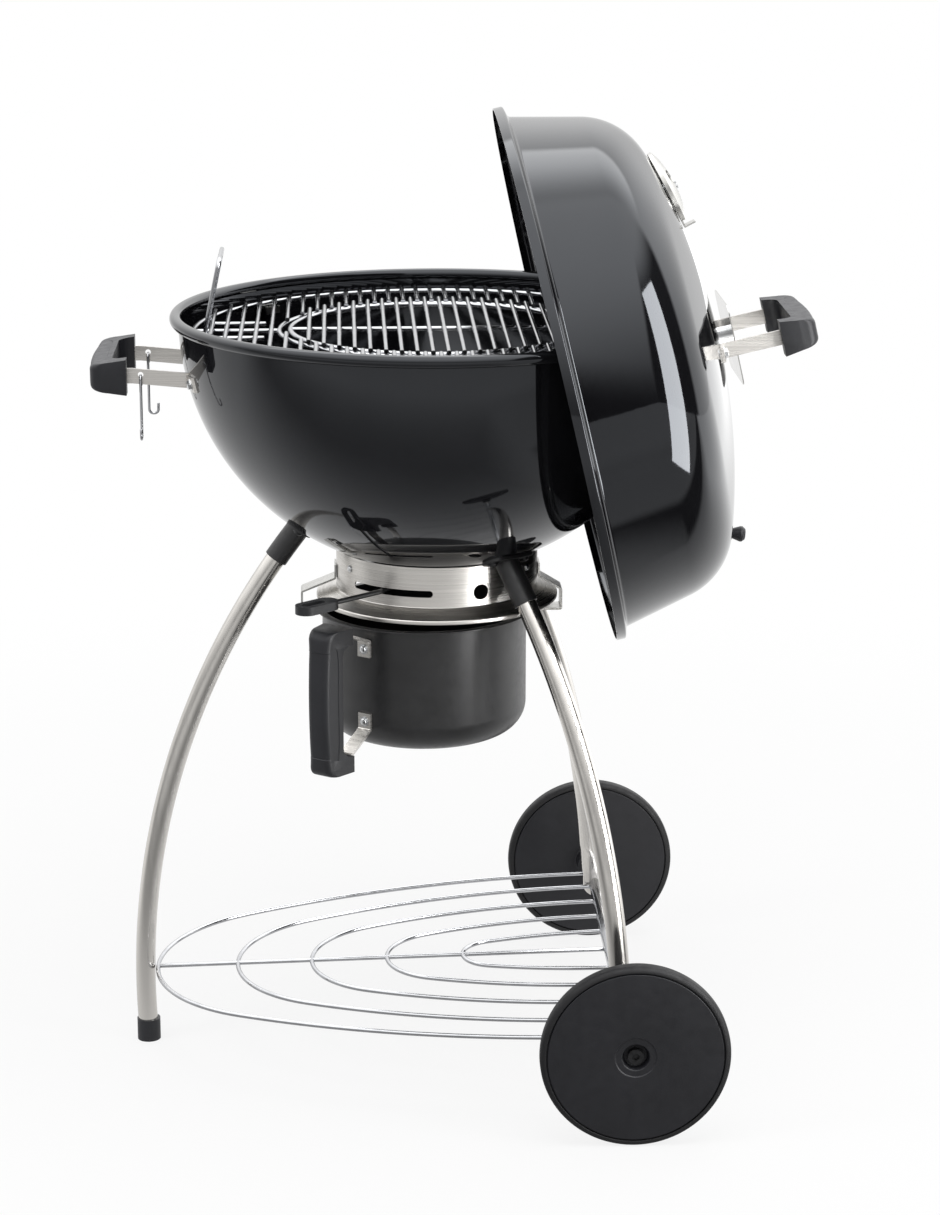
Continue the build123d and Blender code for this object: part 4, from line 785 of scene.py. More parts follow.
def lid_frame(size):
    """The lid's rim middle, the way its axis points and the way up across it."""
    tilt = size.lid_tilt
    middle = Vector((BOWL_X + size.lid_from_bowl, 0, size.lid_z))
    return middle, Vector((cos(tilt), 0, sin(tilt))), Vector((-sin(tilt), 0, cos(tilt)))


def lid_outline(size, inset):
    """The lid's section from its crown to its rim, set in by a sheet's thickness where asked."""
    dome = size.dome_r - inset
    dome_mid = size.lid_high - size.dome_r
    shoulder = size.shoulder_r - inset
    corner = Vector((size.corner_r, dome_mid + sqrt(size.dome_r**2 - size.corner_r**2)))
    foot = Vector((size.wall_r, size.wall_s))
    rise = (corner - foot).normalized()
    inward = Vector((-rise.y, rise.x))
    start = foot + inward * size.shoulder_r
    back = Vector((start.x, start.y - dome_mid))
    along = back.dot(rise)
    run = -along + sqrt(along**2 - back.length_squared + (size.dome_r - size.shoulder_r) ** 2)
    middle = start + rise * run
    lean = atan2(middle.y - dome_mid, middle.x)
    wall_lean = atan2(-inward.y, -inward.x)
    points = arc((0, dome_mid), dome, pi / 2, lean, 40)
    points[0].x = 0
    points += arc(middle, shoulder, lean, wall_lean, 32)[1:]
    flange = size.flange_r - inset
    edge = 0.0022
    foot_bend = 0.004
    wall_foot = foot + inward * inset
    points += rounded(
        [
            (points[-1], 0),
            (wall_foot, foot_bend),
            (Vector((flange, size.flange_h - inset)), edge),
            (Vector((flange, 0)), 0),
        ]
    )[1:]
    return points


class KettleLid(bpy.types.Operator):
    """The lid's shell: a low dome with a round shoulder and a turned flange, pierced by the vent."""

    bl_idname = "kettle.lid"
    bl_label = "Lid"

    def execute(self, context):
        size = settings("kettle_shells")
        middle, out, up = lid_frame(size)
        outline = lid_outline(size, 0.0) + lid_outline(size, size.lid_wall)[::-1]
        bm = bmesh.new()
        add_lathe(bm, outline, middle, out, up, 224)
        lid = new_object("lid_dome", bm)
        dome_mid = middle + out * (size.lid_high - size.dome_r)
        lean = asin(size.vent_at / size.dome_r)
        away = up * sin(lean) + out * cos(lean)
        across = up * cos(lean) - out * sin(lean)
        cutter = bmesh.new()
        below = 0.01
        through = 0.02
        for at in (0, 120, 240):
            spot = dome_mid + away * (size.dome_r - below)
            spot += (across * cos(radians(at)) - BACK * sin(radians(at))) * size.vent_ring_r
            ring = arc((0, 0), size.vent_hole_r, 0, 2 * pi, 24)[:-1]
            add_prism(cutter, [spot + across * p.x + BACK * p.y for p in ring], away * through)
        cut(lid, new_object("vent_holes", cutter))
        dress(lid, "lid", "black_enamel", "lid_shell")
        return {"FINISHED"}


def grip_rows(size):
    """The moulded grip's sections along its length, as (out, along, up) points."""
    half = size.long / 2
    gap = size.deep - size.spine
    bulge = (half**2 + (size.deep - size.end_deep) ** 2) / (2 * (size.deep - size.end_deep))

    def outer(y):
        depth = size.deep - bulge + sqrt(bulge**2 - y**2)
        turn_from = half - size.corner_r
        if abs(y) > turn_from:
            past = abs(y) - turn_from
            depth -= size.corner_r - sqrt(max(0, size.corner_r**2 - past**2))
        return depth

    def inner(y, wall):
        to_lug = half - size.lug
        away = abs(y) - (to_lug - size.scoop_r)
        if abs(y) > to_lug + 1e-9 or (wall and abs(y) > to_lug - 1e-9):
            return 0.0
        if away <= 0:
            return gap
        return gap - size.scoop_r + sqrt(max(0, size.scoop_r**2 - away**2))

    places = []
    for step in range(9):
        places.append((half - size.corner_r * (1 - cos(step / 8 * pi / 2)) * 0.999, False))
    places.append((half - size.lug, True))
    places.append((half - size.lug, False))
    for step in range(1, 9):
        places.append((half - size.lug - size.scoop_r * (1 - cos(step / 8 * pi / 2)), False))
    pad_step = 0.0006
    places += [(size.pad_half + pad_step, False), (size.pad_half - pad_step, False)]
    run = half - size.lug - size.scoop_r
    places += [(run * (1 - step / 8), False) for step in range(1, 9)]
    places.sort(key=lambda place: (-place[0], not place[1]))
    mirrored = [(-y, wall) for y, wall in reversed(places) if y > 1e-9]
    rows = []
    slope = (size.inner_high - size.outer_high) / 2 / size.deep
    panel_half = half * 0.86
    least_face = 0.002
    least_panel = 0.0008
    full_panel = 0.003
    bank = 0.0004
    past_bank = 0.0006
    for y, wall in places + mirrored:
        depth = outer(y)
        pad = size.pad_deep if abs(y) < size.pad_half else 0.0
        share = abs(y) / panel_half
        panel = size.panel_wide * sqrt(max(0.0, 1 - share**4))
        near = inner(y, wall)
        edge_from = depth - size.edge_r
        line = max(near + least_face, edge_from - max(panel, least_panel))
        sunk = size.panel_deep * min(1, panel / full_panel)

        def high(x):
            return size.inner_high / 2 - slope * x

        top = [(near, high(near)), (line - bank, high(line)), (line + bank, high(line) - sunk)]
        top.append((max(edge_from, line + past_bank), high(edge_from) - sunk))
        for step in range(1, 7):
            angle = step / 6 * pi / 2
            x = edge_from + size.edge_r * sin(angle) - pad * sin(angle)
            top.append((x, high(edge_from) - sunk - size.edge_r * (1 - cos(angle))))
        rows.append([(x, y, z) for x, z in top] + [(x, y, -z) for x, z in reversed(top)])
    return rows


class KettleGripping(bpy.types.Operator):
    """The three moulded grips, on the bowl, the lid and the ash can."""

    bl_idname = "kettle.grips"
    bl_label = "Grips"

    def execute(self, context):
        size = settings("kettle_grips")
        middle, out, up = lid_frame(settings("kettle_shells"))
        can_way = Vector((-sin(CAN_HANDLE_AT), -cos(CAN_HANDLE_AT), 0))
        left = Vector((-1, 0, 0))
        on_bowl = Vector((BOWL_X - 0.3275, 0, 0.777))
        on_lid = middle + up * -0.002 + out * 0.241
        on_can = Vector((CAN_X, 0, 0.440)) + can_way * 0.160
        grips = (
            ("grip_bowl", "stand", "bowl_grip", on_bowl, left, BACK, UP),
            ("grip_lid", "lid", "lid_grip", on_lid, out, BACK, up),
            ("grip_can", "ash_can", "can_grip", on_can, can_way, UP, can_way.cross(UP)),
        )
        for name, body, node, origin, away, along, high in grips:
            bm = bmesh.new()
            rows = grip_rows(size)
            add_loft(bm, [[origin + away * x + along * y + high * z for x, y, z in row] for row in rows])
            made = new_object(name, bm)
            bevel = made.modifiers.new("soft_edges", "BEVEL")
            bevel.width = 0.0009
            bevel.segments = 3
            bevel.limit_method = "ANGLE"
            bevel.angle_limit = radians(50)
            plain_mesh(made)
            dress(made, body, "black_plastic", node, sharp=38)
        return {"FINISHED"}


class KettleGrates(bpy.types.Operator):
    """The cooking grate with its loops, its insert, and the coal grate."""

    bl_idname = "kettle.grates"
    bl_label = "Grates"

    def execute(self, context):
        size = settings("kettle_wires")
        tree = bars_tree()
        axis = Vector((BOWL_X, 0, 0))
        grate_reach = size.grate_r + size.past
        coal_reach = size.coal_r + size.past
        grate_bar_z = size.grate_z + size.rise
        coal_bar_z = size.coal_z + size.rise
        kinds = (
            ("grate_cooking", "cooking_grate", size.bars, size.pitch, grate_reach, grate_bar_z),
            ("grate_middle", "grate_insert", size.insert_bars, size.pitch, size.insert_reach, size.insert_z),
            ("grate_coal", "coal_grate", size.coal_bars, size.coal_pitch, coal_reach, coal_bar_z),
        )
        for name, node, count, pitch, reach, bar_z in kinds:
            made = new_object(name, bmesh.new())
            hole = size.inner_r - size.past if node == "cooking_grate" else 0.0
            run_tree(
                made,
                tree,
                count=count,
                pitch=pitch,
                reach=reach,
                hole=hole,
                bar_radius=size.bar_r,
                middle=axis + UP * bar_z,
                material=finish_of("chromed_wire"),
            )
            bm = bmesh.new()
            bm.from_mesh(made.data)
            ring_z = bar_z - size.rise
            rings = {"cooking_grate": (size.grate_r, size.inner_r), "grate_insert": (size.insert_r,)}
            for ring_r in rings.get(node, (size.coal_r,)):
                circle = [axis + Vector((p.x, p.y, ring_z)) for p in arc((0, 0), ring_r, 0, 2 * pi, 160)[:-1]]
                add_tube(bm, circle, size.ring_wire_r, 14, closed=True)
            level = axis + UP * ring_z
            if node == "cooking_grate":
                for side in (-1, 1):
                    spoke = [level + RIGHT * side * away for away in (size.inner_r, size.grate_r)]
                    add_tube(bm, spoke, size.bar_r)
                    inner_end = side * (size.inner_r + size.pitch)
                    corners = [(inner_end, ring_z), (side * size.loop_foot, ring_z)]
                    corners.append((side * size.loop_top, size.loop_z))
                    path = [Vector((BOWL_X + x, -size.loop_half, z)) for x, z in corners]
                    path += [Vector((p.x, size.loop_half, p.z)) for p in reversed(path)]
                    loop = rounded([(p, size.loop_bend) for p in path], steps=10)
                    add_tube(bm, loop, size.bar_r, 14)
            else:
                ring_r = size.insert_r if node == "grate_insert" else size.coal_r
                add_tube(bm, [level - RIGHT * ring_r, level + RIGHT * ring_r], size.bar_r)
            bmesh.ops.recalc_face_normals(bm, faces=bm.faces)
            bm.to_mesh(made.data)
            bm.free()
            dress(made, node, "chromed_wire", node, sharp=50)
        return {"FINISHED"}


class KettleShelf(bpy.types.Operator):
    """The wire shelf between the legs, and the tool hooks."""

    bl_idname = "kettle.shelf"
    bl_label = "Shelf and hooks"

    def execute(self, context):
        size = settings("kettle_wires")
        stand = settings("kettle_stand")
        bm = bmesh.new()
        rear = Vector((AXLE_X, 0, size.shelf_rear_z))
        reach = AXLE_X - BOWL_X
        # From the bowl's axis to the wires' tips, and half their widths at the axle.
        tips = (-0.3165, -0.2265, -0.143, -0.058, 0.028)
        halves = (0.250, 0.204, 0.154, 0.105, 0.056)
        slope = (size.shelf_rear_z - size.shelf_front_z) / (reach - tips[0])
        way = Vector((1, 0, slope)).normalized()
        for tip, half in zip(tips, halves):
            long = reach - tip
            tip_r = half * size.tip_share
            side_r = (long**2 - 2 * long * tip_r + half**2) / (2 * (half - tip_r))
            lean = atan2(long - tip_r, side_r - half)
            leans = [lean * step / 28 for step in range(29)]
            side_arc = [(-side_r * sin(a), half - side_r + side_r * cos(a)) for a in leans]
            meet = atan2(side_arc[-1][1], side_arc[-1][0] + long - tip_r)
            tip_arc = arc((tip_r - long, 0), tip_r, meet, pi, 20)[1:]
            half_wire = side_arc + [(p.x, p.y) for p in tip_arc]
            wire = half_wire + [(x, -y) for x, y in reversed(half_wire[:-1])]
            add_tube(bm, [rear + way * x + BACK * y for x, y in wire], size.shelf_r, 14)
        add_tube(bm, [rear + way * (tips[0] - reach) / way.x, rear], size.shelf_r, 14)
        tab_y = leg_point(stand, 1, stand.wheel_r).y
        tab_in = tab_y - stand.tab_thick / 2 - FIT_GAP
        tab_out = tab_y + stand.tab_thick / 2 + FIT_GAP
        sleeve_end = halves[0] + size.sleeve_past
        bore = stand.axle_r + FIT_GAP
        edge = 0.0006
        for low, high in ((-sleeve_end, -tab_out), (-tab_in, tab_in), (tab_out, sleeve_end)):
            sleeve = [
                ((bore, low), 0),
                ((size.sleeve_r, low), edge),
                ((size.sleeve_r, high), edge),
                ((bore, high), 0),
            ]
            axle = Vector((AXLE_X, 0, stand.wheel_r))
            add_lathe(bm, rounded(sleeve, closed=True), axle, BACK, RIGHT, 48)
        shelf = new_object("shelf_wires", bm)
        dress(shelf, "stand", "chromed_wire", "shelf_rack", sharp=50)

        for name, side in SIDES:
            x = BOWL_X - size.hook_at
            y = side * size.hook_aside
            front = y - size.hook_bend
            low = size.hook_z - size.hook_drop
            behind = y + size.hook_bend
            path = [(x, behind, size.hook_z - size.hook_tip), (x, behind, size.hook_z)]
            path += [(x, front, size.hook_z), (x, front, low)]
            if side < 0:
                path += [(x, front - 2 * size.hook_bend, z) for z in (low, low + size.hook_tip)]
            else:
                path += [(x + 2 * size.hook_bend, front, z) for z in (low, low + size.hook_tip)]
            bm = bmesh.new()
            bend = size.hook_bend * 0.9
            add_tube(bm, rounded([(Vector(p), bend) for p in path], steps=10), size.hook_r, 12)
            hook = new_object("hook_wire_" + name, bm)
            node = "tool_hook_" + name
            dress(hook, node, "chromed_wire", node, sharp=50)
        return {"FINISHED"}


def leg_way(stand, side):
    """The level way that a leg leans, and its plane's shift from the bowl's axis. Side 0 is the front leg."""
    if side == 0:
        return Vector((-1, 0, 0)), Vector((0, 0, 0))
    way = Vector((cos(stand.rear_at), side * sin(stand.rear_at), 0))
    shift = Vector((-sin(stand.rear_at), side * cos(stand.rear_at), 0)) * stand.rear_aside
    return way, shift


def leg_point(stand, side, z):
    """The middle of a leg's tube at a height."""
    way, shift = leg_way(stand, side)
    closer = stand.rear_closer if side else 0.0
    reach = stand.leg_arc_in - closer + sqrt(stand.leg_arc_r**2 - (z - stand.leg_arc_z) ** 2)
    return Vector((BOWL_X, 0, z)) + way * reach + shift


class KettleLegs(bpy.types.Operator):
    """The three curved legs, the rear pair flattened around the axle."""

    bl_idname = "kettle.legs"
    bl_label = "Legs"

    def execute(self, context):
        stand = settings("kettle_stand")
        sides = 40
        turns = [2 * pi * (step + 0.5) / sides for step in range(sides)]
        for name, side in (("front", 0), ("near", -1), ("far", 1)):
            top = stand.rear_top if side else stand.leg_top
            end = stand.rear_end if side else stand.front_end
            heights = [top + (end - top) * step / 64 for step in range(65)]
            middles = [leg_point(stand, side, z) for z in heights]
            rows = []
            for index, middle in enumerate(middles):
                ahead = middles[min(index + 1, len(middles) - 1)]
                back = middles[max(index - 1, 0)]
                way = (ahead - back).normalized()
                first = (RIGHT - way * RIGHT.dot(way)).normalized()
                second = way.cross(first)
                rows.append([middle + (first * cos(a) + second * sin(a)) * stand.leg_r for a in turns])
            if side:
                tab = Vector((AXLE_X, leg_point(stand, side, stand.wheel_r).y, stand.tab_top))
                middle = middles[-1]
                thick = stand.tab_thick / 2
                flat = stand.tab_wide / 2 - thick
                flats = [flat if cos(a) > 0 else -flat for a in turns]
                slot = [Vector((f + thick * cos(a), -thick * sin(a), 0)) for f, a in zip(flats, turns)]
                last = [point - middle for point in rows[-1]]
                for step in range(1, 13):
                    share = step / 12
                    ease = share * share * (3 - 2 * share)
                    spot = middle.lerp(tab, share)
                    rows.append([spot + a.lerp(b, ease) for a, b in zip(last, slot)])
                for step in range(1, 11):
                    drop = stand.tab_wide / 2 * sin(step / 10 * pi / 2) * 0.999
                    wide = max(sqrt((stand.tab_wide / 2) ** 2 - drop**2) - thick, 0.0)
                    spot = Vector((tab.x, tab.y, stand.wheel_r - drop))
                    narrower = [wide - flat if p.x > 0 else flat - wide for p in slot]
                    rows.append([spot + p + RIGHT * step_in for p, step_in in zip(slot, narrower)])
            bm = bmesh.new()
            add_loft(bm, rows)
            node = "leg_" + name
            dress(new_object("tube_" + node, bm), "stand", "leg_steel", node, sharp=40)
        return {"FINISHED"}


class KettleWheels(bpy.types.Operator):
    """The two wheels: a plain disc with a sunk hub and a groove inside its tyre."""

    bl_idname = "kettle.wheels"
    bl_label = "Wheels"

    def execute(self, context):
        stand = settings("kettle_stand")
        inside = stand.face_y - stand.wheel_thick
        soft = 0.0008
        for name, side in SIDES:
            body = "wheel_" + name
            hub = Vector((AXLE_X, 0, stand.wheel_r))
            axis = Vector((0, side, 0))
            face = stand.face_y
            lip = stand.face_r - stand.groove
            disc = [
                ((stand.axle_r, inside - stand.boss_long), 0),
                ((stand.boss_r - 0.0006, inside - stand.boss_long), 0.0012),
                ((stand.boss_r, inside), 0.002),
                ((lip, inside), soft),
                ((lip, inside + 0.003), 0.0004),
                ((stand.face_r, inside + 0.003), 0),
                ((stand.face_r, face - 0.003), 0),
                ((lip, face - 0.003), 0.0004),
                ((lip, face), soft),
                ((stand.hub_r + 0.0075, face), 0.001),
                ((stand.hub_r + 0.0065, face - 0.0009), 0.0006),
                ((stand.hub_r, face - 0.0009), 0.0012),
                ((stand.hub_r - 0.0022, face - stand.hub_deep), 0.001),
                ((stand.axle_r, face - stand.hub_deep), 0),
            ]
            bm = bmesh.new()
            add_lathe(bm, rounded(disc, closed=True), hub, axis, RIGHT, 160)
            wheel = new_object("disc_" + name, bm)
            dress(wheel, body, "wheel_plastic", body, sharp=35)
            shoulder = stand.tyre_edge
            band = [
                ((stand.face_r, inside), 0),
                ((stand.wheel_r, inside), shoulder),
                ((stand.wheel_r, face), shoulder),
                ((stand.face_r + 0.0004, face), 0.0004),
                ((stand.face_r, face - 0.002), 0),
            ]
            bm = bmesh.new()
            add_lathe(bm, rounded(band, closed=True, steps=8), hub, axis, RIGHT, 160)
            tyre = new_object("band_" + name, bm)
            dress(tyre, body, "wheel_rubber", "tyre_" + name, sharp=35)
        return {"FINISHED"}


class KettleAsh(bpy.types.Operator):
    """The ash can with its lugs, and the ash ring above it."""

    bl_idname = "kettle.ash"
    bl_label = "Ash can and ring"

    def execute(self, context):
        stand = settings("kettle_stand")
        wall = stand.can_wall
        top = stand.can_top
        low = stand.can_floor
        inner = stand.can_r - wall
        corners = [
            ((0, low), 0),
            ((stand.can_r, low), stand.can_corner),
            ((stand.can_r, top - stand.can_rim), 0.0012),
            ((stand.can_rim_r, top - stand.can_rim), 0.0008),
            ((stand.can_rim_r, top), 0.0008),
            ((inner, top), 0.0015),
            ((inner, low + wall), stand.can_corner - wall),
            ((0, low + wall), 0),
        ]
        bm = bmesh.new()
        outline = rounded(corners, steps=14)
        add_lathe(bm, outline, Vector((CAN_X, 0, 0)), UP, RIGHT, 144)
        half = stand.can_lug_wide / 2
        lug_start = stand.can_r + 0.001
        lug_bend = 0.004
        for side in (-1, 1):
            inner_x = side * lug_start
            outer_x = side * stand.can_lug_r
            lug = [
                ((inner_x, -half, top - stand.can_rim), 0),
                ((outer_x, -half, top - stand.can_rim), lug_bend),
                ((outer_x, half, top - stand.can_rim), lug_bend),
                ((inner_x, half, top - stand.can_rim), 0),
            ]
            flat = [p + Vector((CAN_X, 0, 0)) for p in rounded(lug, closed=True)]
            add_prism(bm, flat, UP * stand.can_rim)
        can = new_object("can_shell", bm)
        dress(can, "ash_can", "satin_black", "ash_can")

        wall = stand.ring_wall
        ring = [
            ((stand.ring_r - wall, stand.ring_top), 0.0006),
            ((stand.ring_r, stand.ring_top), 0.0006),
            ((stand.ring_r, stand.ring_foot + wall), 0.002),
            ((stand.skirt_r, stand.skirt_z + wall), 0.0025),
            ((stand.skirt_r, stand.skirt_z - stand.skirt_lip), 0.0006),
            ((stand.skirt_r - wall, stand.skirt_z - stand.skirt_lip), 0.0006),
            ((stand.skirt_r - wall, stand.skirt_z), 0.001),
            ((stand.ring_r - wall, stand.ring_foot), 0.001),
        ]
        bm = bmesh.new()
        axis = Vector((BOWL_X, 0, 0))
        add_lathe(bm, rounded(ring, closed=True), axis, UP, RIGHT, 192)
        collar = new_object("ash_collar", bm)
        low = stand.slot_z - stand.slot_high / 2
        slot_end = stand.slot_high / 2 / stand.ring_r
        first = stand.slot_from + slot_end
        last = stand.slot_to - slot_end
        spots = [first + (last - first) * step / 36 for step in range(37)]
        ways = [Vector((-sin(a), -cos(a), 0)) for a in spots]
        slot_outside = stand.ring_r + 0.004
        slot_inside = stand.ring_r - 0.006
        band = [axis + UP * low + w * slot_outside for w in ways]
        band += [axis + UP * low + w * slot_inside for w in reversed(ways)]
        cutter = bmesh.new()
        add_prism(cutter, band, UP * stand.slot_high)
        cut(collar, new_object("lever_slot", cutter))
        rounds = ((first, stand.slot_high / 2), (last, stand.slot_high / 2), (stand.hole_at, stand.hole_r))
        hole_inside = stand.ring_r - 0.008
        through = 0.02
        for at, radius in rounds:
            way = Vector((-sin(at), -cos(at), 0))
            middle = axis + UP * stand.slot_z + way * hole_inside
            hole = arc((0, 0), radius, 0, 2 * pi, 40)[:-1]
            cutter = bmesh.new()
            add_prism(cutter, [middle + UP.cross(way) * p.x + UP * p.y for p in hole], way * through)
            cut(collar, new_object("ring_hole", cutter))
        dress(collar, "stand", "brushed_steel", "ash_ring")
        return {"FINISHED"}


class KettleFixings(bpy.types.Operator):
    """Bolts, rivets and screws, each set on its own points."""

    bl_idname = "kettle.fixings"
    bl_label = "Fixings"

    def execute(self, context):
        stand = settings("kettle_stand")
        tree = heads_tree()
        bright = {"material": finish_of("bright_fixings")}
        bolt = {
            "sides": 6,
            "head_radius": stand.bolt_r * 0.94,
            "head_height": stand.bolt_high * 0.72,
            "dome": stand.bolt_high * 0.16,
            "washer_radius": stand.bolt_r * 1.18,
            "washer_thickness": stand.bolt_high * 0.2,
            "shank_radius": 0.003,
            "shank_length": stand.bolt_long,
        }
        capped = bolt | {"sides": 32, "head_height": 0.0012, "dome": stand.bolt_high * 0.6}
        screw = capped | {"head_radius": 0.0042, "dome": 0.0014, "washer_radius": 0.0056}
        screw |= {"shank_radius": 0.002, "shank_length": 0.0072}
        rivet = capped | {"head_radius": 0.0040, "head_height": 0.0006, "dome": 0.0015}
        rivet |= {"washer_radius": 0.0041, "washer_thickness": 0.0002}
        rivet |= {"shank_radius": 0.002, "shank_length": 0.0015}
        black = capped | {"material": finish_of("black_screws")}
        shiny = "bright_fixings"
        dark = "black_screws"
        groups = (
            ("bolts_bowl", "stand", "bowl_handle_bolts", shiny, self.bowl_spots(stand), bolt | bright),
            ("bolts_lid", "lid", "lid_handle_bolts", shiny, self.lid_spots(stand), bolt | bright),
            ("bolts_socket", "stand", "socket_bolts", dark, self.socket_spots(stand), black),
            ("rivets_ring", "stand", "ring_rivets", shiny, self.ring_spots(stand), rivet | bright),
            ("screws_can", "ash_can", "can_screws", shiny, self.can_spots(stand), screw | bright),
        )
        for name, body, node, slot, spots, shape in groups:
            bm = bmesh.new()
            for place, _ in spots:
                bm.verts.new(place)
            made = new_object(name, bm)
            facing = made.data.attributes.new("facing", "FLOAT_VECTOR", "POINT")
            for row, (_, way) in zip(facing.data, spots):
                row.vector = way
            run_tree(made, tree, **shape)
            dress(made, body, slot, node, sharp=35)
        return {"FINISHED"}

    def on_bowl(self, way, lift):
        shells = settings("kettle_shells")
        away = Vector(way).normalized()
        return Vector((BOWL_X, 0, shells.rim_z)) + away * (shells.bowl_r + lift), away

    def bowl_spots(self, stand):
        shells = settings("kettle_shells")
        bolt_z = 0.770
        drop = shells.rim_z - bolt_z
        left = -sqrt(shells.bowl_r**2 - drop**2 - stand.arm_foot**2)
        ways = [(left, side * stand.arm_foot, -drop) for _, side in SIDES]
        return [self.on_bowl(way, stand.arm_thick) for way in ways]

    def lid_spots(self, stand):
        shells = settings("kettle_shells")
        middle, out, up = lid_frame(shells)
        dome_mid = middle + out * (shells.lid_high - shells.dome_r)
        rise = -0.002
        reach = sqrt(shells.dome_r**2 - rise**2 - stand.arm_foot**2)
        spots = []
        for _, side in SIDES:
            away = (up * rise + Vector((0, side * stand.arm_foot, 0)) + out * reach).normalized()
            spots.append((dome_mid + away * (shells.dome_r + stand.arm_thick), away))
        return spots

    def socket_spots(self, stand):
        shells = settings("kettle_shells")
        centre = Vector((BOWL_X, 0, shells.rim_z))
        turned = stand.socket_bolt / shells.bowl_r
        spots = []
        for side in (0, -1, 1):
            top = stand.rear_top if side else stand.leg_top
            to_leg = (leg_point(stand, side, top) - centre).normalized()
            aside = UP.cross(leg_way(stand, side)[0])
            for angle in (turned, -turned):
                spots.append(self.on_bowl(to_leg * cos(angle) + aside * sin(angle), stand.arm_thick))
        return spots

    def ring_spots(self, stand):
        axis = Vector((BOWL_X, 0, stand.rivet_z))
        ways = [Vector((-sin(a), -cos(a), 0)) for a in (radians(60), radians(180), radians(-60))]
        return [(axis + way * stand.ring_r, way) for way in ways]

    def can_spots(self, stand):
        way = Vector((-sin(CAN_HANDLE_AT), -cos(CAN_HANDLE_AT), 0))
        heights = (0.483, 0.402)
        return [(Vector((CAN_X, 0, z)) + way * (stand.can_r + stand.arm_thick), way) for z in heights]


def soft_lamp(name, place, target, wide, high, power, mirrored=False):
    """A rectangular studio lamp aimed at a point. A mirrored one shows in gloss alone, the others never."""
    light = bpy.data.lights.new(name, "AREA")
    light.shape = "RECTANGLE"
    light.size = wide
    light.size_y = high
    light.energy = power
    lamp = bpy.data.objects.new(name, light)
    lamp.location = place
    lamp.rotation_euler = (Vector(target) - Vector(place)).to_track_quat("-Z", "Y").to_euler()
    lamp.visible_camera = False
    lamp.visible_diffuse = not mirrored
    lamp.visible_glossy = mirrored
    bpy.context.scene.collection.objects.link(lamp)
    return lamp


def spread(tree, value, start, end, low, high):
    """A value carried smoothly from low to high while it goes from start to end."""
    node = wire_up(tree, "ShaderNodeMapRange", Value=value)
    node.interpolation_type = "SMOOTHSTEP"
    node.inputs["From Min"].default_value = start
    node.inputs["From Max"].default_value = end
    node.inputs["To Min"].default_value = low
    node.inputs["To Max"].default_value = high
    return node.outputs[0]


